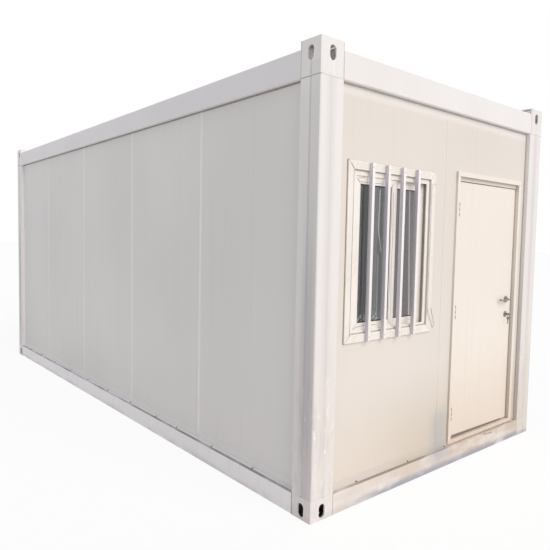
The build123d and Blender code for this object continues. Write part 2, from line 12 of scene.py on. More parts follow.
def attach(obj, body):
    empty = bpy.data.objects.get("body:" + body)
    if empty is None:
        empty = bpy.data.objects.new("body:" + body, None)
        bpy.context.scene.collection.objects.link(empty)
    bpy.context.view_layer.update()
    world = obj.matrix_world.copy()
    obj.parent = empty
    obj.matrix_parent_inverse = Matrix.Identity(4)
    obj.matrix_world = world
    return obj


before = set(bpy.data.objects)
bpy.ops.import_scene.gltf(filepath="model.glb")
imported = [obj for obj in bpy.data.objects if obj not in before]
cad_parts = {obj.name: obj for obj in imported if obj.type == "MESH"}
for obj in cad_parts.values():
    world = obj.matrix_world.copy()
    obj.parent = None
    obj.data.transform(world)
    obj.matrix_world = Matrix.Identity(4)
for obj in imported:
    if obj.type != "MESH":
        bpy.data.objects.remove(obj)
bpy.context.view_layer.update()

# Finishes, small fixings and studio of a flat-pack cabin with a door and a barred window in one
# end. Lengths are metres in the cabin's frame. A place on a wall is given as the distance along
# it, the depth behind its outer face and the height above the ground.

LOG = logging.getLogger("cabin")
Colour = Tuple[float, float, float]
Floats = Tuple[float, ...]
Point = Tuple[float, float]
Place = Tuple[float, float, float]
Edges = Tuple[float, float, float, float]

WHITE: Colour = (1.0, 1.0, 1.0)
UP = Vector((0, 0, 1))
RIGHTWARDS = Vector((1, 0, 0))
SHARP_ANGLE = math.radians(32)

# Gap between a small piece and the surface that it sits on.
PLAY = 0.0002

# Profiles of screw heads of radius 1, as (radius, distance along the axis).
WASHER = ((1.5, 0.0), (1.5, 0.22), (1.1, 0.352))
HEXAGON = ((1.0, 0.22), (1.0, 0.97), (0.82, 1.17), (0.3, 1.22))
COUNTERSUNK = ((1.0, -0.14), (1.0, 0.056), (0.9, 0.14), (0.45, 0.14), (0.3, 0.028))


def screen(red: int, green: int, blue: int) -> Colour:
    """Turn an 8-bit screen colour into a linear one.

    Args:
        red: Red level, 0 to 255.
        green: Green level, 0 to 255.
        blue: Blue level, 0 to 255.

    Returns:
        The linear colour.
    """
    shares = [level / 255 for level in (red, green, blue)]
    return tuple(s / 12.92 if s <= 0.04045 else ((s + 0.055) / 1.055) ** 2.4 for s in shares)


@dataclass(frozen=True)
class Cabin:
    """Main sizes of the cabin, as the solids have them."""

    length: float = 5.890
    width: float = 2.660
    eaves: float = 2.590
    base: float = 0.138
    post_end: float = 0.190
    post_side: float = 0.168
    post_pocket: float = 0.040
    recess: float = 0.035
    module: float = 1.150
    front_joint: float = 1.300

    @property
    def half_length(self) -> float:
        """Half of the length."""
        return self.length / 2

    @property
    def half_width(self) -> float:
        """Half of the width."""
        return self.width / 2


CABIN = Cabin()


class Value:
    """A socket of a node graph. Expressions on number sockets add Math nodes."""

    def __init__(self, graph: "Graph", socket: bpy.types.NodeSocket) -> None:
        """Keep the graph and its socket."""
        self.graph = graph
        self.socket = socket

    def __add__(self, other: "Number") -> "Value":
        """Sum with another value or number."""
        return self.graph.math("ADD", self, other)

    def __radd__(self, other: "Number") -> "Value":
        """Sum with a number on the left."""
        return self.graph.math("ADD", other, self)

    def __sub__(self, other: "Number") -> "Value":
        """Difference from another value or number."""
        return self.graph.math("SUBTRACT", self, other)

    def __rsub__(self, other: "Number") -> "Value":
        """Difference from a number on the left."""
        return self.graph.math("SUBTRACT", other, self)

    def __mul__(self, other: "Number") -> "Value":
        """Product with another value or number."""
        return self.graph.math("MULTIPLY", self, other)

    def __rmul__(self, other: "Number") -> "Value":
        """Product with a number on the left."""
        return self.graph.math("MULTIPLY", other, self)

    def __abs__(self) -> "Value":
        """Size without sign."""
        return self.graph.math("ABSOLUTE", self)

    def lesser(self, other: "Number") -> "Value":
        """The smaller of two values."""
        return self.graph.math("MINIMUM", self, other)

    def greater(self, other: "Number") -> "Value":
        """The larger of two values."""
        return self.graph.math("MAXIMUM", self, other)

    def wave(self, pitch: float) -> "Value":
        """Sine of the value with this pitch, from -1 to 1."""
        return self.graph.math("SINE", self * (2 * math.pi / pitch))

    def rise(self, start: float, end: float) -> "Value":
        """Smooth climb from 0 to 1.

        Args:
            start: Value where the climb starts, which may be the larger.
            end: Value where it reaches 1.

        Returns:
            The climb, held at 0 and 1 outside it.
        """
        settings, sockets = {"interpolation_type": "SMOOTHSTEP"}, {0: self, 1: start, 2: end}
        return self.graph.value("ShaderNodeMapRange", settings, sockets)

    def line(self, place: float, width: float) -> "Value":
        """A soft line, 1 where the value is at a place and 0 about half a width away from it."""
        return abs(self - place).rise(width * 0.6, width * 0.3)

    def within(self, low: float, high: float, edge: float) -> "Value":
        """A band, 1 between two values, with an edge of this width at each of them."""
        return self.rise(low - edge, low) * self.rise(high + edge, high)

    def split(self) -> Tuple["Value", ...]:
        """The three parts of a place."""
        node = self.graph.add("ShaderNodeSeparateXYZ", None, {0: self})
        return tuple(Value(self.graph, output) for output in node.outputs)

    def noise(
        self, across: float, up: float, detail: float, deep: Optional[float] = None
    ) -> "Value":
        """Soft noise, read at a place.

        Args:
            across: Its spots in each metre across the cabin, and along it.
            up: Its spots in each metre of height.
            detail: How fine it gets.
            deep: Its spots in each metre along the cabin, if they differ.

        Returns:
            The noise, about 0.5 on average.
        """
        stretch = (across, across if deep is None else deep, up)
        settings, sockets = {"operation": "MULTIPLY"}, {0: self, 1: stretch}
        scaled = self.graph.value("ShaderNodeVectorMath", settings, sockets)
        sockets = {"Vector": scaled, "Scale": 1.0, "Detail": detail}
        return self.graph.value("ShaderNodeTexNoise", None, sockets)

    def coat(self, share: "Number", tone: "Paint") -> "Value":
        """This colour, covered by a share of another."""
        return self.graph.mix(share, self, tone)

    def front(self, depth: float, edge: float) -> "Value":
        """1 on the door end, for a place's second part, down to a depth with this edge."""
        return self.rise(depth + edge - CABIN.half_length, depth - CABIN.half_length)


Number = Union[float, Value]
Paint = Union[Colour, Value]
Settings = Optional[Dict[str, Any]]
Sockets = Optional[Dict[Union[int, str], Any]]


class Graph:
    """The nodes of one material or of the world."""

    def __init__(self, owner: Union[bpy.types.Material, bpy.types.World]) -> None:
        """Start an empty graph.

        Args:
            owner: Material or world that the graph belongs to.
        """
        owner.use_nodes = True
        self.tree = owner.node_tree
        self.tree.nodes.clear()

    def add(self, kind: str, settings: Settings = None, sockets: Sockets = None) -> bpy.types.Node:
        """Add a node.

        Args:
            kind: Type of the node.
            settings: Its settings, set before its sockets.
            sockets: Values or links, by the name or the number of the socket.

        Returns:
            The node.
        """
        node = self.tree.nodes.new(kind)
        for name, setting in (settings or {}).items():
            setattr(node, name, setting)
        for name, value in (sockets or {}).items():
            socket = node.inputs[name]
            if isinstance(value, Value):
                self.tree.links.new(value.socket, socket)
            else:
                socket.default_value = (*value, 1.0) if socket.type == "RGBA" else value
        return node

    def value(
        self, kind: str, settings: Settings = None, sockets: Sockets = None,
        output: Union[int, str] = 0,
    ) -> Value:
        """Add a node and take one of its outputs, given by its number or name."""
        return Value(self, self.add(kind, settings, sockets).outputs[output])

    def math(self, operation: str, *operands: Number) -> Value:
        """Add a Math node on values or numbers."""
        return self.value("ShaderNodeMath", {"operation": operation}, dict(enumerate(operands)))

    def mix(self, share: Number, first: Paint, second: Paint) -> Value:
        """Blend two colours by a share of the second."""
        sockets = {0: share, 6: first, 7: second}
        return self.value("ShaderNodeMix", {"data_type": "RGBA"}, sockets, output=2)

    def place(self) -> Value:
        """Place on the piece, in the cabin's frame."""
        return self.value("ShaderNodeTexCoord", output="Object")

    def bump(self, height: Value, distance: float) -> Value:
        """A normal bent by a height, which is 1 at this distance above the surface."""
        return self.value("ShaderNodeBump", None, {"Height": height, "Distance": distance})

    def shader(self, sockets: Sockets) -> Value:
        """A Principled shader with these sockets."""
        return self.value("ShaderNodeBsdfPrincipled", None, sockets)

    def blend(self, share: Value, first: Value, second: Value) -> Value:
        """Mix two shaders by a share of the second."""
        return self.value("ShaderNodeMixShader", None, {0: share, 1: first, 2: second})

    def show(self, shader: Value) -> None:
        """Make a shader the surface of the material."""
        self.add("ShaderNodeOutputMaterial", None, {"Surface": shader})

    def surface(self, colour: Paint, rough: Number, normal: Value, others: Sockets = None) -> None:
        """Make a Principled shader of these, and of other sockets, the surface of the material."""
        sockets = {"Base Color": colour, "Roughness": rough, "Normal": normal, **(others or {})}
        self.show(self.shader(sockets))


@dataclass(frozen=True)
class Finish:
    """A finish that becomes one material."""

    name: str

    def lay(self, graph: Graph, at: Value) -> None:
        """Add the finish's nodes to an empty graph.

        Args:
            graph: Graph of the finish.
            at: Place on the piece.
        """
        raise NotImplementedError

    def mark(self, graph: Graph, at: Value, colour: Value) -> Value:
        """Add the marks of one kind of piece to a colour.

        Args:
            graph: Graph of the finish.
            at: Place on the piece.
            colour: Colour so far.

        Returns:
            The colour with the marks.
        """
        return colour

    def material(self) -> bpy.types.Material:
        """Make the finish's material the first time it is asked for.

        Returns:
            The material.
        """
        made = bpy.data.materials.get(self.name)
        if made is None:
            made = bpy.data.materials.new(self.name)
            graph = Graph(made)
            self.lay(graph, graph.place())
        return made


@dataclass(frozen=True)
class FramePaint(Finish):
    """Semi-gloss paint on folded steel, with painted reflection streaks, and dust low down that is
    partly painted shade; rubbed and flaked low down.
    """

    colour: Colour
    shade: Colour = screen(235, 231, 229)
    dust: Colour = screen(219, 204, 194)
    scratch: Colour = screen(253, 251, 249)
    grime: Colour = screen(172, 172, 178)
    dust_share: float = 0.6
    reflection_streak_share: float = 0.25
    rub_share: float = 0.18
    roughness: float = 0.36

    def lay(self, graph: Graph, at: Value) -> None:
        """Add the finish's nodes to an empty graph."""
        _, y, z = at.split()
        cloud = at.noise(2.0, 1.2, 3.0)
        # Upright streaks of the shade tone: painted reflections of the folded profile.
        reflection_streak = at.noise(34.0, 0.9, 3.0)
        # Dust low down, darker towards the foot, which also serves as painted shade on the lower
        # posts.
        dust = z.rise(1.9, 0.3) * (0.45 + 0.55 * at.noise(4.0, 1.6, 4.0))
        dust = dust * (0.15 + 0.85 * y.rise(0.5, -1.5))
        rub = at.noise(30.0, 5.0, 4.0).rise(0.5, 0.68) * z.rise(1.35, 0.4)
        flake = at.noise(46.0, 15.0, 3.0).rise(0.62, 0.68) * z.rise(1.25, 0.5)
        splash = z.rise(0.06, 0.0) * at.noise(5.0, 16.0, 3.0).rise(0.35, 0.62)
        colour = graph.mix(cloud.rise(0.35, 0.75) * 0.5, self.colour, self.shade)
        colour = colour.coat(reflection_streak.rise(0.5, 0.8) * self.reflection_streak_share, self.shade)
        colour = colour.coat(dust * self.dust_share, self.dust)
        colour = colour.coat(rub * self.rub_share, self.grime)
        colour = colour.coat(flake * 0.7, self.scratch)
        colour = self.mark(graph, at, colour.coat(splash * 0.3, self.grime))
        peel = at.noise(420.0, 420.0, 1.0)
        rough = self.roughness + rub * 0.22 + splash * 0.25 + (cloud - 0.5) * 0.10
        normal = graph.bump(peel * 0.3 + rub * 0.4 - flake * 0.4, 0.0006)
        graph.surface(colour, rough, normal)


@dataclass(frozen=True)
class CornerPaint(FramePaint):
    """Paint on posts and corner fittings, with dark seams and painted shade in folds, shaded faces
    and hollows.
    """

    seam: Colour = screen(112, 108, 108)
    # Colour of the painted shade in the folds and on the faces in shade.
    fold_shade: Colour = screen(134, 132, 148)
    right_post_grey: Colour = screen(198, 189, 177)
    # Near-black painted shade inside the hollows below the base.
    hollow_shade: Colour = screen(44, 38, 36)
    # Colour of the painted shade across the end faces beside the groove.
    dull: Colour = screen(160, 142, 130)
    fold_top: float = 2.672

    def mark(self, graph: Graph, at: Value, colour: Value) -> Value:
        """Darken the joints and the right post, and paint shade in the grooves, on the faces in
        shade and in the hollows.
        """
        x, y, z = at.split()
        wide, deep = abs(x), abs(y)
        half_width, half_length = CABIN.half_width, CABIN.half_length
        end_edge, side_edge = half_width - CABIN.post_end, half_length - CABIN.post_side
        end_middle, middle = half_width - CABIN.post_end / 2, half_length - CABIN.post_side / 2
        on_side = wide.rise(half_width - 0.013, half_width - 0.008)
        on_side = on_side * deep.rise(side_edge + 0.0003, side_edge + 0.001)
        on_end = deep.rise(half_length - 0.013, half_length - 0.008)
        low = z.rise(CABIN.base, CABIN.base - 0.004)
        high = z.rise(CABIN.eaves, CABIN.eaves + 0.004)
        ends = on_side * deep.line(side_edge, 0.018) * 1.3 + on_end * wide.line(end_edge, 0.012)
        seams = z.line(CABIN.eaves, 0.007) * (0.3 + 0.5 * on_side)
        seams = seams + z.line(CABIN.base, 0.004) * 0.18 + ends * (low + high * 0.5) * 0.7
        # Painted shade along the crease of each post, on its side and end faces.
        groove = deep.line(middle, 0.024) * 0.18 * z.rise(0.2, 2.2)
        groove = groove + deep.rise(middle - 0.006, middle + 0.006) * 0.07
        end_groove = on_end * wide.line(end_middle, 0.020)
        crease_shade = on_side * groove + end_groove * 0.05 * z.rise(0.3, 1.2)
        # Painted shade on the side faces, stronger towards the crease and at mid height.
        side_face_shade = deep.rise(middle - 0.055, middle - 0.005)
        side_face_shade = side_face_shade * (1.0 - 0.5 * deep.rise(half_length - 0.04, half_length - 0.015))
        side_face_shade = side_face_shade * (z.rise(2.2, 1.2) * 0.27 - z.rise(0.6, 0.25) * 0.12) * (1.0 - low)
        # Painted shade on the return faces beside the end panels, below the eaves.
        inner = wide.line(end_edge, 0.003) * z.rise(CABIN.eaves + 0.01, CABIN.eaves)
        shaded = on_side * (0.06 - z.rise(2.45, 2.6) * 0.06 + side_face_shade)
        shaded = shaded + inner * (0.04 + z.rise(1.9, 0.9) * 0.24)
        shaded = shaded + crease_shade * z.within(CABIN.base, self.fold_top, 0.004)
        # Painted shade across the end faces beside the groove.
        end_face_shade = on_end * abs(wide - (end_middle + 0.005)).rise(0.055, 0.005)
        end_face_shade = end_face_shade * z.within(CABIN.base, CABIN.eaves, 0.004) * (0.15 - z.rise(1.3, 0.5) * 0.09)
        colour = colour.coat(end_face_shade, self.dull).coat(shaded, self.fold_shade)
        # Greyer towards the foot on the front right post.
        right = x.rise(1.10, 1.14) * y.rise(0.0, -1.0)
        colour = colour.coat(right * (0.10 + z.rise(0.9, 0.1) * 0.35), self.right_post_grey)
        colour = colour.coat(right * z.rise(0.045, 0.015) * 0.6, self.grime)
        colour = colour.coat(seams.lesser(1.0) * 0.75, self.seam)
        # Painted shade inside the hollows below the base.
        return colour.coat((1.0 - on_side) * (1.0 - on_end) * low * 0.92, self.hollow_shade)


@dataclass(frozen=True)
class FootPaint(FramePaint):
    """Paint on the bottom beams, with a painted shadow along the top edge under the flashing, grime
    and painted shade along the foot, and marks and chips on the door end.
    """

    earth: Colour = screen(202, 185, 166)
    # Grey-blue of the grime and of the painted shade along the foot.
    foot_grime_and_shade: Colour = screen(158, 160, 174)
    rust: Colour = screen(128, 98, 82)
    # Colours of the painted shadow line under the flashing, on the sides and on the door end.
    edge: Colour = screen(96, 92, 94)
    front_shadow: Colour = screen(130, 108, 90)
    chips: Tuple[Point, ...] = ((0.615, 0.126), (0.665, 0.121), (0.705, 0.118))

    def mark(self, graph: Graph, at: Value, colour: Value) -> Value:
        """Add the painted shadow line under the flashing, the grime and painted shade along the
        foot, and the marks of the door end.
        """
        x, y, z = at.split()
        front = y.front(0.01, 0.02)
        patch = at.noise(3.0, 9.0, 3.0)
        earth = (0.55 + 0.45 * x.rise(-1.2, 0.5)) * (0.5 + 0.5 * patch.rise(0.3, 0.6))
        # Painted shade along the lower edge of the door end's beam.
        low = z.rise(0.066, 0.018) * patch.rise(0.26, 0.46) * x.rise(-1.2, -0.6)
        # Grime and painted shade along the foot, with a grey smear under the rubbed patch.
        foot_grime_and_shade = (low + abs(x + 0.02).rise(0.22, 0.02) * z.rise(0.02, 0.15) * 0.75).lesser(1.0)
        spots = (abs(x - a).rise(0.022, 0.008) * z.line(b, 0.012) for a, b in self.chips)
        chips = sum(spots, 0.0)
        # Painted shadow along the top edge, under the flashing.
        painted_shadow = z.rise(CABIN.base - 0.010, CABIN.base - 0.005)
        painted_shadow = painted_shadow * (0.55 + 0.45 * patch.rise(0.35, 0.6))
        painted_shadow = painted_shadow * (1.0 - 0.65 * front * x.rise(0.05, 0.15))
        colour = colour.coat(earth * front * 0.95, self.earth)
        colour = colour.coat(foot_grime_and_shade * front * 0.85, self.foot_grime_and_shade)
        colour = colour.coat(painted_shadow * 0.8, graph.mix(front, self.edge, self.front_shadow))
        return colour.coat(chips.lesser(1.0) * front * 0.85, self.rust)


@dataclass(frozen=True)
class BarPaint(FramePaint):
    """Paint on the window bars, with painted shade on the left face of each bar."""

    # Grey of the painted shade on the left faces.
    left_face_shade: Colour = screen(196, 192, 202)
    faces: Floats = ()

    def mark(self, graph: Graph, at: Value, colour: Value) -> Value:
        """Paint shade on the left faces."""
        x = at.split()[0]
        # Painted shade on the left face of each bar.
        left_face_shade_share = sum((x.line(face, 0.004) for face in self.faces), 0.0)
        return colour.coat(left_face_shade_share.lesser(1.0) * 0.75, self.left_face_shade)


@dataclass(frozen=True)
class CoatedSheet(Finish):
    """Satin coating on steel sheet, with faint roll lines, slow waves and dust."""

    colour: Colour
    shade: Colour
    dust: Colour = screen(222, 203, 180)
    dust_top: float = 0.95
    dust_share: float = 0.45
    roughness: float = 0.42
    roll_pitch: float = 0.055
    front_dust: bool = False

    def lay(self, graph: Graph, at: Value) -> None:
        """Add the finish's nodes to an empty graph."""
        x, y, z = at.split()
        cloud = at.noise(0.8, 0.6, 2.0)
        drawn = at.noise(45.0, 0.15, 2.0)
        drip = at.noise(18.0, 0.5, 3.0).rise(0.58, 0.72)
        dust = z.rise(self.dust_top, 0.12) * (0.35 + 0.65 * at.noise(3.0, 2.0, 4.0))
        if self.front_dust:
            dust = dust * y.front(0.05, 0.01)
        colour = graph.mix(cloud.rise(0.3, 0.7) * 0.6, self.colour, self.shade)
        colour = colour.coat(drawn.rise(0.35, 0.7) * 0.16, self.shade)
        colour = colour.coat(drip * 0.10, screen(200, 192, 182))
        colour = colour.coat(dust * self.dust_share, self.dust)
        colour = self.mark(graph, at, colour)
        slow = at.noise(1.4, 0.7, 1.0)
        rough = self.roughness + (cloud - 0.5) * 0.12 + dust * 0.15
        rolls = x.wave(self.roll_pitch) * y.wave(self.roll_pitch) if self.roll_pitch else slow * 0.0
        normal = graph.bump(slow * 6.0 + drawn * 0.12 + rolls * 0.05, 0.0008)
        graph.surface(colour, rough, normal)


@dataclass(frozen=True)
class FrontSheet(CoatedSheet):
    """Sheet of the door end, with painted shade and a painted light strip under the eaves, soiled
    and rubbed at its foot by the door.
    """

    eaves_shade_share: float = 0.05
    eaves_light_share: float = 0.75
    soil: Colour = screen(180, 168, 146)
    soil_least: float = 0.0
    soil_most: float = 0.36

    def mark(self, graph: Graph, at: Value, colour: Value) -> Value:
        """Add the painted grey shade and the painted light strip under the eaves, the soiled foot
        and the rubbed patch.
        """
        x, y, z = at.split()
        front = y.front(0.05, 0.01)
        soiled = self.soil_least + x.rise(-1.1, 0.05) * (self.soil_most - self.soil_least)
        colour = colour.coat(soiled * front * z.rise(0.85, 0.22), self.soil)
        across = abs(x - (CABIN.front_joint + 0.035 - CABIN.half_width)).rise(0.16, 0.02)
        rubbed = across * z.within(0.17, 0.33, 0.17)
        rubbed = rubbed * (0.6 + 0.4 * at.noise(7.0, 3.0, 2.0))
        # Painted shade under the eaves, then a painted light strip just below the beam.
        colour = colour.coat(z.rise(2.22, 2.46) * self.eaves_shade_share, screen(204, 199, 200))
        colour = colour.coat(z.rise(2.51, 2.575) * self.eaves_light_share, screen(254, 251, 248))
        return colour.coat(rubbed * front * 0.7, screen(178, 180, 185))


@dataclass(frozen=True)
class DoorSheet(CoatedSheet):
    """Sheet of the door and its frame, with painted shadow at the leaf's foot and painted shade in
    the reveals and under the head.
    """

    leaf_foot: float = 0.178
    soffit: float = 2.150
    sides: Floats = (0.112, 1.027)

    def mark(self, graph: Graph, at: Value, colour: Value) -> Value:
        """Add the painted shadow at the foot of the leaf, and the painted shade in the reveals and
        under the head.
        """
        x, _, z = at.split()
        # Painted shadow at the foot of the leaf, which widens the dark gap over the threshold.
        painted_shadow = (z + x * 0.014).rise(self.leaf_foot + 0.020, self.leaf_foot + 0.014)
        painted_shadow = painted_shadow * x.within(0.213, 0.92, 0.03)
        # Painted shade on the side faces of the jambs and under the head, darker low down and near
        # the head.
        head = z.line(self.soffit, 0.004) * 1.4
        reveal_shade = sum((x.line(side, 0.004) for side in self.sides), head).lesser(1.4)
        reveal_shade = reveal_shade * (0.20 + z.rise(1.7, 0.9) * 0.16 + z.rise(2.08, 2.14) * 0.16)
        colour = colour.coat(reveal_shade, screen(134, 124, 115))
        return colour.coat(painted_shadow * 0.8, screen(104, 92, 82))


@dataclass(frozen=True)
class ScuffedSill(Finish):
    """Cream paint on the threshold, worn to dark marks where people step."""

    colour: Colour = screen(226, 212, 199)
    worn: Colour = screen(120, 104, 92)

    def lay(self, graph: Graph, at: Value) -> None:
        """Add the finish's nodes to an empty graph."""
        x = at.split()[0]
        cloud = at.noise(6.0, 6.0, 4.0)
        trodden = abs(x - 0.62).rise(0.34, 0.05)
        spots = at.noise(70.0, 120.0, 3.0, deep=120.0).rise(0.60, 0.68) * trodden
        drag = at.noise(14.0, 160.0, 3.0, deep=160.0).rise(0.55, 0.7) * 0.5
        colour = graph.mix(cloud.rise(0.35, 0.7) * 0.5, self.colour, screen(208, 191, 175))
        colour = colour.coat((spots + drag * trodden).lesser(1.0) * 0.8, self.worn)
        rough = 0.45 + spots * 0.2 - drag * 0.1
        normal = graph.bump(spots * -0.6 + drag * 0.3, 0.0008)
        graph.surface(colour, rough, normal)


@dataclass(frozen=True)
class SatinMetal(Finish):
    """Bare metal with fine rubbing lines and finger marks."""

    colour: Colour
    dull: Colour
    roughness: float = 0.32

    def lay(self, graph: Graph, at: Value) -> None:
        """Add the finish's nodes to an empty graph."""
        rub = at.noise(900.0, 900.0, 2.0, deep=90.0)
        marks = at.noise(60.0, 60.0, 4.0)
        colour = graph.mix(marks.rise(0.45, 0.7) * 0.5, self.colour, self.dull)
        rough = self.roughness + (rub - 0.5) * 0.2 + marks.rise(0.5, 0.75) * 0.15
        normal = graph.bump(rub, 0.00015)
        graph.surface(colour, rough, normal, {"Metallic": 1.0})


@dataclass(frozen=True)
class ZincCoat(Finish):
    """Dull zinc on steel with a spangle of crystals and white bloom."""

    colour: Colour = screen(178, 182, 186)
    bloom: Colour = screen(206, 208, 208)

    def lay(self, graph: Graph, at: Value) -> None:
        """Add the finish's nodes to an empty graph."""
        sockets = {"Vector": at, "Scale": 70.0}
        cells = graph.value("ShaderNodeTexVoronoi", None, sockets, output="Color")
        level = graph.value("ShaderNodeRGBToBW", None, {0: cells})
        bloom = at.noise(4.0, 4.0, 5.0).rise(0.5, 0.7)
        colour = graph.mix(level * 0.45, self.colour, screen(150, 155, 160))
        colour = colour.coat(bloom * 0.45, self.bloom)
        rough = 0.38 + level * 0.14 + bloom * 0.25
        normal = graph.bump(level * 0.2 + bloom * 0.3, 0.0003)
        graph.surface(colour, rough, normal, {"Metallic": 0.8})


@dataclass(frozen=True)
class WindowPlastic(Finish):
    """White extruded plastic with fine draw lines, mitred, welded corners and a painted shadow just
    inside the frame face's inner edge.
    """

    colour: Colour
    loops: Tuple[Floats, ...] = ()
    depth_split: float = 0.0

    def lay(self, graph: Graph, at: Value) -> None:
        """Add the finish's nodes to an empty graph."""
        x, y, z = at.split()
        cloud = at.noise(3.0, 3.0, 3.0)
        dirt = at.noise(22.0, 22.0, 4.0).rise(0.56, 0.72)
        colour = graph.mix(cloud.rise(0.35, 0.7) * 0.5, self.colour, screen(238, 231, 223))
        colour = colour.coat(dirt * 0.10, screen(176, 164, 150))
        mitres_and_rim_shade = None
        for number, (left, right, foot, top, face) in enumerate(self.loops):
            across = (x - left).lesser(right - x)
            up = (z - foot).lesser(top - z)
            mitre = abs(across - up).rise(0.0022, 0.0010)
            mitre = mitre * across.greater(up).rise(face + 0.001, face)
            if self.depth_split:
                side = y.rise(self.depth_split, self.depth_split - 0.001)
                mitre = mitre * (side if number == 0 else 1.0 - side)
            mitres_and_rim_shade = mitre if mitres_and_rim_shade is None else mitres_and_rim_shade + mitre
            if not self.depth_split:
                # Painted shadow in a narrow band just inside the inner edge of the frame's face.
                rim = across.lesser(up).within(face + 0.0005, face + 0.0065, 0.0015)
                mitres_and_rim_shade = mitres_and_rim_shade + rim * 0.65
        if mitres_and_rim_shade is not None:
            colour = graph.mix(mitres_and_rim_shade.lesser(1.0) * 0.75, colour, screen(120, 112, 104))
        drawn = at.noise(260.0, 260.0, 1.0)
        rough = 0.26 + (cloud - 0.5) * 0.12 + dirt * 0.2
        normal = graph.bump(drawn * 0.15 + cloud * 0.5, 0.0004)
        graph.surface(colour, rough, normal, {"Coat Weight": 0.25})


@dataclass(frozen=True)
class PaneGlass(Finish):
    """Clear float glass with painted pale reflections in bands and streaks, a painted glint, dust
    along its foot, and a pale hooked line with a pale upright line under it.
    """

    tint: Colour = screen(206, 212, 214)
    # Colours of the dust and the painted reflections, on the outer and the inner pane.
    dust: Colour = screen(192, 194, 197)
    inner_dust_and_reflection: Colour = screen(197, 191, 193)

    def lay(self, graph: Graph, at: Value) -> None:
        """Add the finish's nodes to an empty graph."""
        x, y, z = at.split()
        outer = y.rise(-2.884, -2.888)
        # Upright streaks of painted reflection.
        reflection_streak = at.noise(30.0, 0.15, 3.0)
        # Painted pale reflection in bands across each pane.
        painted_reflection = outer * (0.03 + x.rise(-0.880, -0.905) * 0.14 + x.rise(-0.86, -0.74) * 0.17)
        painted_reflection = painted_reflection + (1.0 - outer) * 0.21
        specks = at.noise(55.0, 55.0, 5.0).rise(0.48, 0.60)
        foot = z.rise(1.24, 1.16) * specks * x.rise(-0.65, -0.74)
        # A pale hooked line on the outer pane.
        hook = x + z.rise(1.75, 1.60) * -0.022 + at.noise(2.5, 5.0, 1.0) * 0.02
        run = hook.line(-0.719, 0.013) * z.within(1.61, 1.98, 0.03) * outer
        # Painted glint on the inner pane.
        glint = (x + z * 0.0426).line(-0.3042, 0.016) * (1.0 - outer)
        # A pale upright line under the hooked line.
        tail = x.line(-0.728, 0.014) * z.within(1.13, 1.55, 0.06) * outer
        share = painted_reflection + reflection_streak.rise(0.48, 0.74) * 0.16 + foot * 0.5
        share = (share + run * 0.75 + tail * 0.3 + glint * 0.75).lesser(0.9)
        glass = {"Roughness": 0.0, "IOR": 1.5, "Transmission Weight": 1.0}
        clear = graph.shader({"Base Color": self.tint, **glass})
        dust = graph.mix(outer, self.inner_dust_and_reflection, self.dust)
        # Rough shader for the dust and the painted reflections.
        dust_and_reflection = graph.shader({"Base Color": dust, "Roughness": 0.7})
        graph.show(graph.blend(share, clear, dust_and_reflection))


@dataclass(frozen=True)
class Rubber(Finish):
    """Dark seal rubber or pale sealant, with dust on it."""

    colour: Colour
    dust: Colour
    roughness: float = 0.6

    def lay(self, graph: Graph, at: Value) -> None:
        """Add the finish's nodes to an empty graph."""
        dust = at.noise(30.0, 6.0, 4.0).rise(0.45, 0.75)
        lumps = at.noise(120.0, 40.0, 2.0)
        colour = graph.mix(dust * 0.45, self.colour, self.dust)
        rough = self.roughness + dust * 0.2
        normal = graph.bump(lumps, 0.0004)
        graph.surface(colour, rough, normal)


@dataclass(frozen=True)
class ThinFilm(Finish):
    """Clear protective film, a little milky where it has lifted."""

    colour: Colour = screen(250, 248, 246)

    def lay(self, graph: Graph, at: Value) -> None:
        """Add the finish's nodes to an empty graph."""
        crease = at.noise(12.0, 5.0, 3.0)
        milk = crease.rise(0.45, 0.75)
        colour = graph.mix(milk, screen(232, 229, 230), self.colour)
        normal = graph.bump(crease, 0.0010)
        graph.surface(colour, 0.15 + milk * 0.2, normal, {"Alpha": 0.10 + milk * 0.16})


@dataclass(frozen=True)
class SheetFloor(Finish):
    """Matt sheet flooring with a fine speckle and trodden patches."""

    colour: Colour = screen(150, 140, 128)

    def lay(self, graph: Graph, at: Value) -> None:
        """Add the finish's nodes to an empty graph."""
        speck = at.noise(240.0, 240.0, 2.0)
        worn = at.noise(1.6, 1.6, 4.0).rise(0.42, 0.7)
        colour = graph.mix(speck.rise(0.5, 0.6) * 0.5, self.colour, screen(112, 103, 94))
        colour = colour.coat(speck.rise(0.45, 0.35) * 0.5, screen(186, 178, 166))
        colour = colour.coat(worn * 0.25, screen(172, 164, 152))
        normal = graph.bump(speck, 0.0003)
        graph.surface(colour, 0.55 - worn * 0.15, normal)

FRAME_WHITE = screen(242, 239, 240)
BEAM_PAINT = FramePaint("finish_beam_paint", FRAME_WHITE)
# Darker, bluer copy of the beam paint for the side beams: painted shade.
SHADED_SIDE_BEAM_PAINT = FramePaint(
    "finish_shaded_side_beam_paint", screen(235, 233, 237), shade=screen(230, 227, 231)
)
FOOT_PAINT = FootPaint(
    "finish_foot_paint",
    screen(253, 250, 254),
    shade=screen(250, 247, 253),
    dust_share=0.08,
    reflection_streak_share=0.10,
    rub_share=0.07,
)
CORNER_PAINT = CornerPaint("finish_corner_paint", FRAME_WHITE, dust_share=0.42)
SIDE_SHEET = CoatedSheet(
    "finish_side_sheet", screen(233, 230, 231), screen(225, 222, 223), dust_share=0.03
)
FRONT_SHEET = FrontSheet("finish_front_sheet", screen(233, 226, 221), screen(227, 220, 214))
FLASHING_SHEET = FrontSheet(
    "finish_flashing_sheet",
    screen(236, 233, 235),
    screen(230, 227, 228),
    roll_pitch=0.0,
    front_dust=True,
    soil_least=0.20,
    soil_most=0.46,
)
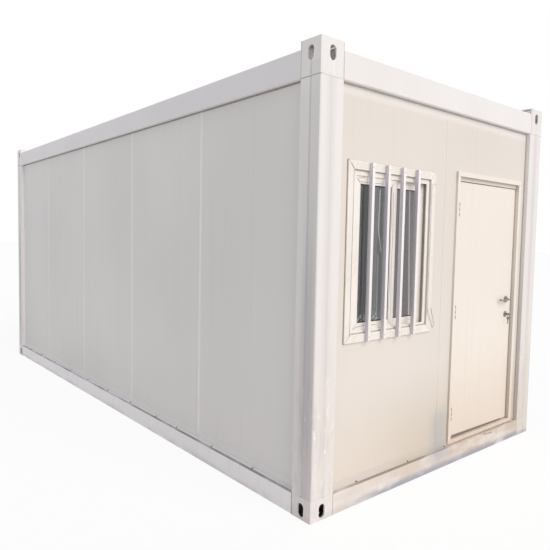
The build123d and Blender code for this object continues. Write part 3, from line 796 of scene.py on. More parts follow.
DOOR_SHEET = DoorSheet(
    "finish_door_sheet",
    screen(247, 239, 231),
    screen(242, 233, 225),
    dust=screen(224, 207, 192),
    dust_top=1.0,
    dust_share=1.0,
    roll_pitch=0.0,
)
ROOF_COAT = CoatedSheet(
    "finish_roof_coat", screen(222, 222, 220), screen(206, 207, 206), roll_pitch=0.0
)
CEILING_COAT = CoatedSheet(
    "finish_ceiling_coat", screen(238, 237, 235), screen(230, 229, 227), roll_pitch=0.0
)
SILL_PAINT = ScuffedSill("finish_sill_paint")
LOCK_METAL = SatinMetal("finish_lock_metal", screen(158, 150, 143), screen(114, 106, 98))
HINGE_METAL = SatinMetal("finish_hinge_metal", screen(168, 160, 154), screen(132, 124, 118), 0.4)
SCREW_METAL = SatinMetal("finish_screw_metal", screen(96, 92, 90), screen(66, 60, 56), 0.45)
KEY_METAL = SatinMetal("finish_key_metal", screen(118, 108, 98), screen(88, 78, 70), roughness=0.34)
ZINC = ZincCoat("finish_zinc")
SEAL_RUBBER = Rubber("finish_seal_rubber", screen(52, 50, 50), screen(128, 122, 116))
PILE = Rubber("finish_pile", screen(160, 155, 156), screen(136, 130, 128), roughness=0.9)
EDGE_SEAL = Rubber("finish_edge_seal", screen(150, 143, 137), screen(184, 176, 168))
EAVES_SEAL = Rubber("finish_eaves_seal", screen(190, 184, 178), screen(208, 202, 196))
POST_SEAL = Rubber("finish_post_seal", screen(174, 163, 155), screen(194, 185, 176))
SILL_SEALANT = Rubber("finish_sill_sealant", screen(164, 142, 124), screen(192, 174, 156))
FILM_EDGE = Rubber("finish_film_edge", screen(140, 134, 132), screen(188, 182, 178), roughness=0.35)
SEALANT = Rubber("finish_sealant", screen(243, 241, 239), screen(232, 229, 226), roughness=0.45)
FILM = ThinFilm("finish_film")
FLOORING = SheetFloor("finish_flooring")
GLASS = PaneGlass("finish_glass")


class Axis(Enum):
    """The three axes of a place on a wall."""

    ALONG = 0
    DEPTH = 1
    HEIGHT = 2


class Wall(Enum):
    """The four walls. Along starts at the door end or, on the ends, at the left from outside."""

    FRONT = "front"
    BACK = "back"
    LEFT = "left"
    RIGHT = "right"

    def at(self, along: float, depth: float, height: float) -> Vector:
        """Turn a place on the wall into a point.

        Args:
            along: Distance along the wall.
            depth: Distance behind the wall's outer face.
            height: Height above the ground.

        Returns:
            The point in the cabin's frame.
        """
        x, y = {
            Wall.FRONT: (along - CABIN.half_width, depth - CABIN.half_length),
            Wall.BACK: (CABIN.half_width - along, CABIN.half_length - depth),
            Wall.LEFT: (depth - CABIN.half_width, along - CABIN.half_length),
            Wall.RIGHT: (CABIN.half_width - depth, along - CABIN.half_length),
        }[self]
        return Vector((x, y, height))

    def across(self, axis: Axis, reach: float, first: float, second: float) -> Vector:
        """Turn distances along and across an axis into a point.

        Args:
            axis: The axis.
            reach: Distance along it.
            first: Distance along the first of the other two axes.
            second: Distance along the second of them.

        Returns:
            The point in the cabin's frame.
        """
        place = [first, second]
        place.insert(axis.value, reach)
        return self.at(*place)

    def out(self) -> Vector:
        """Direction out of the wall."""
        return (self.at(0, -1, 0) - self.at(0, 0, 0)).normalized()


def rounded(width: float, depth: float, radius: float, steps: int = 3) -> List[Point]:
    """Outline of a rectangle with round corners.

    Args:
        width: Size along the first axis.
        depth: Size along the second axis.
        radius: Radius of the corners.
        steps: Faces round each corner.

    Returns:
        Points round the middle of the rectangle.
    """
    points = []
    corners = ((1, 1, 0), (-1, 1, 90), (-1, -1, 180), (1, -1, 270))
    for sign_x, sign_y, start in corners:
        for step in range(steps + 1):
            turn = math.radians(start + 90 * step / steps)
            x = sign_x * (width / 2 - radius) + radius * math.cos(turn)
            points.append((x, sign_y * (depth / 2 - radius) + radius * math.sin(turn)))
    return points


def circle(radius: float, sides: int) -> List[Point]:
    """Points round a circle."""
    turns = [2 * math.pi * side / sides for side in range(sides)]
    return [(radius * math.cos(turn), radius * math.sin(turn)) for turn in turns]


def uneven(step: int, size: float, *waves: Point) -> float:
    """A size that wanders along a run.

    Args:
        step: Step of the run.
        size: The size on average.
        waves: Height and pace of each wave in it.

    Returns:
        The size at the step.
    """
    return size + sum(height * math.sin(step * pace) for height, pace in waves)


class Workpiece:
    """The mesh of one piece while it is being made."""

    def __init__(self, name: str) -> None:
        """Start an empty mesh."""
        self.name = name
        self.mesh = bmesh.new()

    def skin(
        self, rings: Sequence[Sequence[Vector]], looped: bool = False, closed: bool = True
    ) -> None:
        """Join a row of equal rings of points with faces.

        Args:
            rings: The rings, in order.
            looped: Whether the last ring joins the first; otherwise closed rings get end caps.
            closed: Whether each ring is closed; otherwise the skin is a sheet.
        """
        rows = [[self.mesh.verts.new(point) for point in ring] for ring in rings]
        pairs = list(zip(rows, rows[1:])) + ([(rows[-1], rows[0])] if looped else [])
        for near, far in pairs:
            for i in range(len(near) if closed else len(near) - 1):
                j = (i + 1) % len(near)
                self.mesh.faces.new((near[i], near[j], far[j], far[i]))
        if closed and not looped:
            self.mesh.faces.new(rows[0][::-1])
            self.mesh.faces.new(rows[-1])

    def stack(
        self, axis: Axis, centre: Place, outline: Sequence[Point], levels: Sequence[Point],
        wall: Wall = Wall.FRONT,
    ) -> None:
        """Join scaled copies of an outline.

        Args:
            axis: Axis that the copies follow.
            centre: Place of the outline's middle.
            outline: The outline, on the other two axes.
            levels: Distance from the centre and scale of each copy.
            wall: Wall that the place is on.
        """
        start = centre[axis.value]
        first, second = (part for i, part in enumerate(centre) if i != axis.value)
        rings = []
        for reach, share in levels:
            ring = [(first + u * share, second + v * share) for u, v in outline]
            rings.append([wall.across(axis, start + reach, *point) for point in ring])
        self.skin(rings)

    def run(
        self, axis: Axis, span: Point, sections: Sequence[Sequence[Point]], wall: Wall = Wall.FRONT
    ) -> None:
        """Join a row of sections along a run.

        Args:
            axis: Axis that the run follows.
            span: Where the run starts and ends on that axis.
            sections: The sections at equal steps, on the other two axes.
            wall: Wall that the run is on.
        """
        start, end = span
        rings = []
        for step, section in enumerate(sections):
            reach = start + (end - start) * step / (len(sections) - 1)
            rings.append([wall.across(axis, reach, *point) for point in section])
        self.skin(rings)

    def strip(
        self, corners: Sequence[Edges], section: Sequence[Point], looped: bool = False
    ) -> None:
        """A strip round corners on the front wall, mitred at each of them.

        Args:
            corners: Along and height of each corner, each followed by the way its inset runs.
            section: Section of the strip as (inset, depth).
            looped: Whether the strip closes on itself.
        """
        rings = []
        for along, inward, height, upward in corners:
            ring = [(along + inward * u, depth, height + upward * u) for u, depth in section]
            rings.append([Wall.FRONT.at(*place) for place in ring])
        self.skin(rings, looped)

    def frame_loop(self, edges: Edges, section: Sequence[Point]) -> None:
        """A strip round a rectangle on the front wall.

        Args:
            edges: Left, right, foot and top of the rectangle.
            section: Section of the strip as (inset, depth).
        """
        left, right, foot, top = edges
        lower = ((left, 1, foot, 1), (right, -1, foot, 1))
        self.strip(lower + ((right, -1, top, -1), (left, 1, top, -1)), section, looped=True)

    def turn(
        self, profile: Sequence[Point], base: Vector, axis: Vector, sides: int = 16,
        scale: float = 1.0, looped: bool = False,
    ) -> None:
        """Turn a profile round an axis.

        Args:
            profile: Points as (radius, distance along the axis).
            base: Point on the axis where the distance is 0.
            axis: Direction of the axis.
            sides: Faces round it.
            scale: What the profile is scaled by.
            looped: Whether the profile closes on itself.
        """
        spin = axis.to_track_quat("Z", "Y")
        rings = []
        for radius, reach in profile:
            rim = circle(radius * scale, sides)
            rings.append([base + spin @ Vector((x, y, reach * scale)) for x, y in rim])
        self.skin(rings, looped)

    def screw(self, base: Vector, axis: Vector, radius: float) -> None:
        """A hexagon screw head on a round washer."""
        self.turn(WASHER, base, axis, scale=radius)
        self.turn(HEXAGON, base, axis, sides=6, scale=radius)

    def countersunk(self, base: Vector, axis: Vector, radius: float) -> None:
        """A flat screw head with a sunk middle that stands just proud of its surface."""
        self.turn(COUNTERSUNK, base, axis, scale=radius)

    def tube(self, path: Sequence[Place], radius: float, sides: int = 6) -> None:
        """A slender round cord.

        Args:
            path: Places on the front wall that it goes through.
            radius: Its radius.
            sides: Faces round it.
        """
        points = [Wall.FRONT.at(*place) for place in path]
        rings = []
        for i, point in enumerate(points):
            ahead = points[min(i + 1, len(points) - 1)] - points[max(i - 1, 0)]
            spin = ahead.to_track_quat("Z", "Y")
            rings.append([point + spin @ Vector((x, y, 0.0)) for x, y in circle(radius, sides)])
        self.skin(rings)

    def finish(self, body: str, finish: Finish, slot: str) -> bpy.types.Object:
        """Turn the mesh into a piece that rides on a body.

        Args:
            body: Name of the body.
            finish: Finish of the piece.
            slot: Material slot of the record that the finish belongs to; not used.

        Returns:
            The piece.
        """
        bmesh.ops.recalc_face_normals(self.mesh, faces=self.mesh.faces)
        data = bpy.data.meshes.new(self.name)
        self.mesh.to_mesh(data)
        self.mesh.free()
        data.materials.append(finish.material())
        data.shade_smooth()
        data.set_sharp_from_angle(angle=SHARP_ANGLE)
        piece = bpy.data.objects.new(self.name, data)
        bpy.context.scene.collection.objects.link(piece)
        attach(piece, body)
        LOG.info("made %s with %d faces", self.name, len(data.polygons))
        return piece


def dress(names: Iterable[str], finish: Finish) -> None:
    """Give nodes of the model a finish.

    Args:
        names: Names of the nodes.
        finish: The finish.
    """
    for name in names:
        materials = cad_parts[name].data.materials
        materials.clear()
        materials.append(finish.material())
        LOG.info("dressed %s in %s", name, finish.name)


@dataclass
class SteelFrame:
    """Corner posts, fittings and beams, with webs in the top fittings and a plug in one hole."""

    corners: Tuple[str, ...] = ("front_left", "front_right", "back_left", "back_right")
    sides: Tuple[str, ...] = ("front", "back", "left", "right")
    hole_width: float = 0.050
    hole_height: float = 0.085
    hole_rise: float = 0.056
    plug_play: float = 0.0003
    plug_flat: float = 0.0001
    plug_levels: Tuple[Point, ...] = (
        (0.010, 0.97), (0.009, 1.0), (0.0012, 1.0), (0.0004, 0.97), (0.0002, 0.80), (0.0010, 0.74),
    )
    web_foot: float = 2.7548
    web_top: float = 2.783
    web_thick: float = 0.010
    web_round: float = 0.0012
    web_levels: Tuple[Point, ...] = ((0.0101, 0.97), (0.0109, 1.0), (0.1571, 1.0), (0.1579, 0.97))

    def build(self) -> None:
        """Make the webs and the plug."""
        self._webs()
        self._plug()

    def _webs(self) -> None:
        """Make the web on the inner plate of each top fitting, a little short of its lid."""
        webs = Workpiece("fitting_webs")
        outline = rounded(self.web_thick, self.web_top - self.web_foot, self.web_round, 2)
        middle = (self.web_foot + self.web_top) / 2
        inset = CABIN.post_end - self.web_thick / 2
        for wall in (Wall.FRONT, Wall.BACK):
            for along in (inset, CABIN.width - inset):
                webs.stack(Axis.DEPTH, (along, 0.0, middle), outline, self.web_levels, wall)
        webs.finish("cabin", CORNER_PAINT, "frame_paint")

    def _plug(self) -> None:
        """Make the painted plug in the end hole of the bottom fitting at the front right."""
        plug = Workpiece("fitting_plug")
        width, height = (size - 2 * self.plug_play for size in (self.hole_width, self.hole_height))
        outline = rounded(width, height, width / 2 - self.plug_flat, 8)
        centre = (CABIN.width - CABIN.post_end / 2, 0.0, self.hole_rise)
        plug.stack(Axis.DEPTH, centre, outline, self.plug_levels)
        plug.finish("cabin", CORNER_PAINT, "frame_paint")

    def dress(self) -> None:
        """Paint the frame, with seams where fittings meet posts and beams."""
        top = ("top_fitting_", "top_fitting_side_plate_", "top_fitting_end_plate_")
        for piece in ("corner_post_", *top, "bottom_fitting_"):
            dress((piece + corner for corner in self.corners), CORNER_PAINT)
        dress(("top_beam_front", "top_beam_back"), BEAM_PAINT)
        dress(("top_beam_left", "top_beam_right"), SHADED_SIDE_BEAM_PAINT)
        dress(("bottom_beam_" + side for side in self.sides), FOOT_PAINT)


@dataclass
class FloorAndRoof:
    """Floor, ceiling and roof, with the roof's screws and edge sealant."""

    screw_radius: float = 0.0055
    purlins: int = 6
    ribs: int = 10
    sheet_half: float = 1.324
    sheet_top: float = 2.676
    bead_steps: int = 60
    bead_size: float = 0.009
    bead_lap: float = 0.0018
    bead_end: float = 0.006

    def build(self) -> None:
        """Make the screws and the sealant."""
        self._screws()
        self._sealant()

    def _screws(self) -> None:
        """Make the screws in the pans of the roof sheet."""
        screws = Workpiece("roof_screws")
        span = CABIN.length - 2 * CABIN.post_side
        pitch = 2 * self.sheet_half / self.ribs
        for row in range(self.purlins):
            y = span * (row + 0.5) / self.purlins - span / 2
            for pan in range(1, self.ribs):
                base = Vector((pan * pitch - self.sheet_half, y, self.sheet_top))
                screws.screw(base, UP, self.screw_radius)
        screws.finish("cabin", SCREW_METAL, "galvanised_steel")

    def _sealant(self) -> None:
        """Make the uneven sealant along the long edges of the roof sheet."""
        bead = Workpiece("roof_edge_sealant")
        edge = CABIN.half_width - self.sheet_half
        sections = []
        for step in range(self.bead_steps + 1):
            size = uneven(step, self.bead_size, (0.0015, 1.9), (0.001, 4.3))
            corner = ((self.bead_lap, 0.0), (self.bead_lap, size), (-size * 0.35, size * 0.4))
            corner += ((-size, 0.0),)
            sections.append([(edge - x, self.sheet_top + z) for x, z in corner])
        start = CABIN.post_side + self.bead_end
        for wall in (Wall.LEFT, Wall.RIGHT):
            bead.run(Axis.ALONG, (start, CABIN.length - start), sections, wall)
        bead.finish("cabin", SEALANT, "roof_paint")

    def dress(self) -> None:
        """Finish the floor, the ceiling and the roof."""
        dress(("floor_joists", "roof_purlins"), ZINC)
        dress(("floor_deck",), FLOORING)
        dress(("ceiling",), CEILING_COAT)
        dress(("roof_sheet",), ROOF_COAT)


@dataclass
class WallPanels:
    """Wall panels and the flashing at their foot, with sealant, screws and corner seals."""

    side_joints: int = 4
    bead_steps: int = 40
    bead_half: float = 0.015
    bead_proud: float = 0.0022
    bead_sunk: float = 0.0004
    bead_bend: float = 0.0008
    bead_foot: float = 0.184
    bead_short: float = 0.002
    seal_steps: int = 24
    seal_front: float = 0.026
    seal_short: float = 0.002
    post_seal_steps: int = 32
    post_seal_size: float = 0.0080
    post_seal_lift: float = 0.0025
    post_seal_short: float = 0.012
    screw_radius: float = 0.0042
    screw_depth: float = 0.020
    screw_foot: float = 0.140
    side_screws: Floats = (
        0.58, 1.07, 1.58, 1.92, 2.42, 2.93, 3.44, 3.95, 4.46, 4.97, 5.40,
    )
    front_screws: Floats = (0.42, 0.95, 1.40, 2.44)
    back_screws: Floats = (0.30, 0.80, 1.33, 1.86, 2.36)

    def build(self) -> None:
        """Make the beads, the screws and the seals."""
        self._beads()
        self._screws()
        self._eaves_seals()
        self._post_seal()

    def _beads(self) -> None:
        """Make the upright beads of sealant over the joints, a little uneven in width."""
        beads = Workpiece("joint_sealant")
        start = CABIN.post_side - CABIN.post_pocket
        joints = [start + (number + 1) * CABIN.module for number in range(self.side_joints)]
        places = [(wall, along) for wall in (Wall.LEFT, Wall.RIGHT) for along in joints]
        places.append((Wall.BACK, CABIN.post_end - CABIN.post_pocket + CABIN.module))
        face, top = CABIN.recess + self.bead_sunk, CABIN.recess - self.bead_proud
        for wall, along in places:
            sections = []
            for step in range(self.bead_steps + 1):
                share = 1 + 0.10 * math.sin(step * 1.7 + along) + 0.06 * math.sin(step * 3.9)
                arc = ((-1.0, face), (-0.6, top + self.bead_bend), (0.0, top))
                arc += ((0.6, top + self.bead_bend), (1.0, face))
                half = self.bead_half * share
                sections.append([(along + half * u, depth) for u, depth in arc])
            beads.run(Axis.HEIGHT, (self.bead_foot, CABIN.eaves - self.bead_short), sections, wall)
        beads.finish("cabin", SEALANT, "panel_paint")

    def _screws(self) -> None:
        """Make the screws along the flashing."""
        screws = Workpiece("flashing_screws")
        rows = ((Wall.LEFT, self.side_screws), (Wall.RIGHT, self.side_screws))
        for wall, places in rows + ((Wall.FRONT, self.front_screws), (Wall.BACK, self.back_screws)):
            for along in places:
                base = wall.at(along, self.screw_depth, self.screw_foot)
                screws.screw(base, UP, self.screw_radius)
        screws.finish("cabin", SCREW_METAL, "panel_paint")

    def _eaves_seals(self) -> None:
        """Make the seals in the corners between the top beams and the panels under them."""
        back, front = CABIN.recess - PLAY, self.seal_front
        sections = []
        for step in range(self.seal_steps + 1):
            sag = uneven(step, 0.0, (0.0008, 2.1))
            section = ((back, -PLAY), (front, -PLAY), (front + 0.001, -0.006 - sag))
            section += ((back, -0.009 - sag),)
            sections.append([(depth, CABIN.eaves + rise) for depth, rise in section])
        across, side = CABIN.post_end + self.seal_short, CABIN.post_side + self.seal_short
        ends, sides = (across, CABIN.width - across), (side, CABIN.length - side)
        others = ((Wall.BACK, ends), (Wall.LEFT, sides), (Wall.RIGHT, sides))
        seals = (
            ("eaves_seal", EDGE_SEAL, others),
            ("front_eaves_seal", EAVES_SEAL, ((Wall.FRONT, ends),)),
        )
        for name, finish, spans in seals:
            seal = Workpiece(name)
            for wall, span in spans:
                seal.run(Axis.ALONG, span, sections, wall)
            seal.finish("cabin", finish, "panel_paint")

    def _post_seal(self) -> None:
        """Make the seal up the corner between the wall beside the lock and the post."""
        seal = Workpiece("post_seal")
        edge, back = CABIN.width - CABIN.post_end, CABIN.recess - PLAY
        sections = []
        for step in range(self.post_seal_steps + 1):
            size = uneven(step, self.post_seal_size, (0.0008, 1.7), (0.0005, 4.3))
            section = ((PLAY, 0.0), (size, 0.0), (size * 0.45, size * 0.4), (PLAY, size * 0.7))
            sections.append([(edge - u, back - rise) for u, rise in section])
        span = (CABIN.base + self.post_seal_lift, CABIN.eaves - self.post_seal_short)
        seal.run(Axis.HEIGHT, span, sections)
        seal.finish("cabin", POST_SEAL, "panel_paint")

    def dress(self) -> None:
        """Finish the panels and the flashing."""
        dress((side + "_wall_panels" for side in ("left", "right", "back")), SIDE_SHEET)
        walls = ("window_panel", "wall_hinge_side", "wall_over_door", "wall_lock_side")
        dress(("front_" + wall for wall in walls), FRONT_SHEET)
        dress(("base_flashing",), FLASHING_SHEET)


@dataclass
class Doorway:
    """Door frame, leaf, hinges, lock and keys, with the seal round the opening."""

    frame_left: float = 1.442
    frame_right: float = 2.392
    frame_front: float = 0.020
    reveal_left: float = 1.477
    reveal_right: float = 2.357
    reveal_top: float = 2.123
    sill: float = 0.168
    sill_seal_steps: int = 48
    sill_seal_size: float = 0.0065
    stop_front: float = 0.099
    leaf_left: float = 1.483
    leaf_right: float = 2.349
    leaf_front: float = 0.048
    leaf_foot: float = 0.178
    leaf_middle: float = 0.0705
    sweep_steps: int = 32
    sweep_hang: float = 0.0068
    sweep_ends: Point = (0.030, 0.055)
    hinge_heights: Floats = (0.3718, 1.147, 1.9086)
    flange_rises: Floats = (-0.037, 0.0, 0.037)
    flange_middle: float = 0.0034
    hinge_screw_rises: Point = (0.015, 0.043)
    hinge_screw_radius: float = 0.0034
    hinge_screw_inset: float = 0.023
    hinge_screw_depth: float = 0.060
    lock_x: float = 2.267
    latch_height: float = 1.200
    key_height: float = 1.075
    key_face: float = 0.042
    key_thick: float = 0.0011
    key_half: float = 0.0038
    bow_hole: float = 0.0042
    bow_radius: float = 0.0122
    bow_reach: float = 0.0115
    ring_radius: float = 0.0105
    ring_wire: float = 0.0007
    plate_proud: float = 0.0010
    plate_screw_rise: float = 0.105
    plate_screw_radius: float = 0.0035
    keep_gap: float = 0.0006
    keep_thick: float = 0.0012

    def build(self) -> None:
        """Make the seals, the screws, the lock's edge plates and the keys."""
        self._sill_seal()
        self._seal()
        self._foot_seal()
        self._hinge_screws()
        self._hinge_flanges()
        self._lock_face()
        self._lock_keep()
        self._keys()

    def _sill_seal(self) -> None:
        """Dirty sealant in the corner between the threshold and the beam, a little uneven."""
        bead = Workpiece("sill_seal")
        back, foot = self.frame_front - PLAY, CABIN.base + PLAY
        sections = []
        for step in range(self.sill_seal_steps + 1):
            size = uneven(step, self.sill_seal_size, (0.0012, 1.7), (0.0008, 4.1))
            section = ((0.0, 0.0), (size, 0.0), (size * 0.4, size * 0.45), (0.0, size))
            sections.append([(back - depth, foot + rise) for depth, rise in section])
        bead.run(Axis.ALONG, (self.frame_left, self.frame_right), sections)
        bead.finish("cabin", SILL_SEALANT, "threshold_steel")

    def _seal(self) -> None:
        """Rubber seal on the stop, up the hinge side, across the head and down the lock side."""
        lip = ((0.003, 0.0), (0.004, 0.0034), (0.008, 0.0050), (0.012, 0.0034), (0.013, 0.0))
        left, right, top = self.reveal_left, self.reveal_right, self.reveal_top
        corners = ((left, 1, self.sill, 0), (left, 1, top, -1))
        corners += ((right, -1, top, -1), (right, -1, self.sill, 0))
        seal = Workpiece("door_seal")
        seal.strip(corners, [(inset, self.stop_front - proud) for inset, proud in lip])
        seal.finish("cabin", SEAL_RUBBER, "door_paint")

    def _foot_seal(self) -> None:
        """Rubber sweep under the leaf, just clear of the threshold."""
        sweep = Workpiece("leaf_foot_seal")
        sections = []
        for step in range(self.sweep_steps + 1):
            hang = uneven(step, self.sweep_hang, (0.0006, 1.9))
            section = ((0.050, 0.0005), (0.088, 0.0005), (0.084, -hang * 0.8))
            section += ((0.070, -hang), (0.053, -hang * 0.7))
            sections.append([(depth, self.leaf_foot + rise) for depth, rise in section])
        left, right = self.sweep_ends
        sweep.run(Axis.ALONG, (self.leaf_left + left, self.leaf_right - right), sections)
        sweep.finish("door", SEAL_RUBBER, "door_paint")

    def _hinge_flanges(self) -> None:
        """Three short flanges of each hinge's frame half, bent onto the face of the jamb."""
        flanges = Workpiece("hinge_flanges")
        outline = rounded(0.0058, 0.028, 0.0014, 2)
        levels = ((PLAY, 1.0), (-0.0016, 1.0), (-0.0022, 0.86))
        along = self.reveal_left - self.flange_middle
        for middle in self.hinge_heights:
            for rise in self.flange_rises:
                centre = (along, self.frame_front, middle + rise)
                flanges.stack(Axis.DEPTH, centre, outline, levels)
        flanges.finish("cabin", HINGE_METAL, "lock_steel")

    def _hinge_screws(self) -> None:
        """Countersunk screws in the plates of the hinges, on the leaf and in the reveal."""
        leaf = Workpiece("leaf_hinge_screws")
        reveal = Workpiece("reveal_hinge_screws")
        along = self.leaf_left + self.hinge_screw_inset
        for middle in self.hinge_heights:
            for rise in self.hinge_screw_rises:
                base = Wall.FRONT.at(along, self.leaf_front, middle + rise)
                leaf.countersunk(base, Wall.FRONT.out(), self.hinge_screw_radius)
                base = Wall.FRONT.at(self.reveal_left, self.hinge_screw_depth, middle - rise)
                reveal.countersunk(base, RIGHTWARDS, self.hinge_screw_radius)
        leaf.finish("door", LOCK_METAL, "lock_steel")
        reveal.finish("cabin", LOCK_METAL, "lock_steel")

    def _lock_face(self) -> None:
        """Lock face with its bolts and screws, on the edge of the leaf."""
        plate = Workpiece("lock_face")
        edge = (self.leaf_right, self.leaf_middle)
        middle = (self.latch_height + self.key_height) / 2
        levels = ((-0.0012, 1.0), (0.0006, 1.0), (self.plate_proud, 0.985))
        plate.stack(Axis.ALONG, (*edge, middle), rounded(0.022, 0.235, 0.009, 5), levels)
        bolts = ((self.latch_height, 0.018, 0.0045), (self.key_height + 0.012, 0.030, 0.0022))
        for height, tall, proud in bolts:
            levels = ((0.0, 1.0), (proud * 0.85, 1.0), (proud, 0.86))
            plate.stack(Axis.ALONG, (*edge, height), rounded(0.013, tall, 0.002, 2), levels)
        for height in (middle - self.plate_screw_rise, middle + self.plate_screw_rise):
            base = Wall.FRONT.at(self.leaf_right + self.plate_proud, self.leaf_middle, height)
            plate.countersunk(base, RIGHTWARDS, self.plate_screw_radius)
        plate.finish("door", LOCK_METAL, "lock_steel")

    def _lock_keep(self) -> None:
        """Keep of the lock in the jamb, with its two holes."""
        keep = Workpiece("lock_keep")
        along = self.reveal_right - self.keep_gap
        middle = (self.latch_height + self.key_height) / 2
        depths = [self.leaf_middle + offset for offset in (-0.014, -0.0075, 0.0075, 0.014)]
        heights = [middle + offset for offset in (-0.10, -0.075, -0.025, 0.045, 0.080, 0.10)]
        holes = ((1, 1), (1, 3))
        new = keep.mesh.verts.new
        grid = [[new(Wall.FRONT.at(along, d, h)) for h in heights] for d in depths]
        for i, (near, far) in enumerate(zip(grid, grid[1:])):
            for j in range(len(heights) - 1):
                if (i, j) not in holes:
                    keep.mesh.faces.new((near[j], far[j], far[j + 1], near[j + 1]))
        piece = keep.finish("cabin", LOCK_METAL, "lock_steel")
        thick = piece.modifiers.new("thickness", "SOLIDIFY")
        thick.thickness = self.keep_thick
        thick.offset = 0.0

    def _keys(self) -> None:
        """A key in the lock, with a second key on a wire ring hanging from its bow."""
        keys = Workpiece("door_keys")
        out = Wall.FRONT.out()
        hole = Wall.FRONT.at(self.lock_x, self.key_face, self.key_height)
        self._key(keys, hole, (out, UP), visible=0.010)
        centre = hole + out * 0.0235 - UP * 0.0155
        wire = [(self.ring_radius + x, y) for x, y in circle(self.ring_wire, 8)]
        keys.turn(wire, centre, out.cross(UP), sides=24, looped=True)
        self._key(keys, centre - UP * 0.0285, (UP, out), visible=0.034, down=True)
        keys.finish("door", KEY_METAL, "lock_steel")

    def _key(
        self, piece: Workpiece, root: Vector, axes: Tuple[Vector, Vector], visible: float,
        down: bool = False,
    ) -> None:
        """Add a key.

        Args:
            piece: Piece that the key belongs to.
            root: Where the blade meets the lock, or the shoulder of a loose key.
            axes: Direction from the blade to the bow, and direction across the flat of the key.
            visible: Length of blade that shows.
            down: Whether the blade hangs free, with its cuts showing.
        """
        along, wide = axes
        start = root - along * (visible if down else 0.0)
        sides = (-self.key_thick, self.key_thick)
        steps = 12 if down else 2
        rings = []
        for step in range(steps + 1):
            has_cut = down and 0 < step < steps - 2
            cut = 0.0014 * (0.5 + 0.5 * math.sin(step * 2.4)) if has_cut else 0.0
            centre = start + along * (visible * step / steps)
            rings.append(self._bar(centre, wide, (cut - self.key_half, self.key_half), sides))
        piece.skin(rings)
        middle = start + along * (visible + self.bow_reach)
        rings = []
        for step in range(28):
            turn = 2 * math.pi * step / 28
            spoke = along * math.cos(turn) + wide * math.sin(turn)
            outer = self.bow_radius * (1 + 0.08 * math.cos(2 * turn))
            rings.append(self._bar(middle, spoke, (self.bow_hole, outer), sides))
        piece.skin(rings, looped=True)

    def _bar(self, centre: Vector, wide: Vector, reach: Point, sides: Point) -> List[Vector]:
        """Corners of a key's section.

        Args:
            centre: Point that the reach is measured from.
            wide: Direction across the section.
            reach: Where the section starts and ends in that direction.
            sides: Where its two faces are.

        Returns:
            The four corners.
        """
        (low, high), (left, right) = reach, sides
        corners = ((low, left), (high, left), (high, right), (low, right))
        return [centre + wide * w + RIGHTWARDS * t for w, t in corners]

    def dress(self) -> None:
        """Finish the door, its frame and its lock."""
        dress(("door_leaf", "door_hinge_jamb", "door_lock_jamb", "door_head"), DOOR_SHEET)
        dress(("door_frame_hinges", "door_leaf_hinges"), HINGE_METAL)
        dress(("door_threshold",), SILL_PAINT)
        dress(("door_lock_set", "door_handle"), LOCK_METAL)


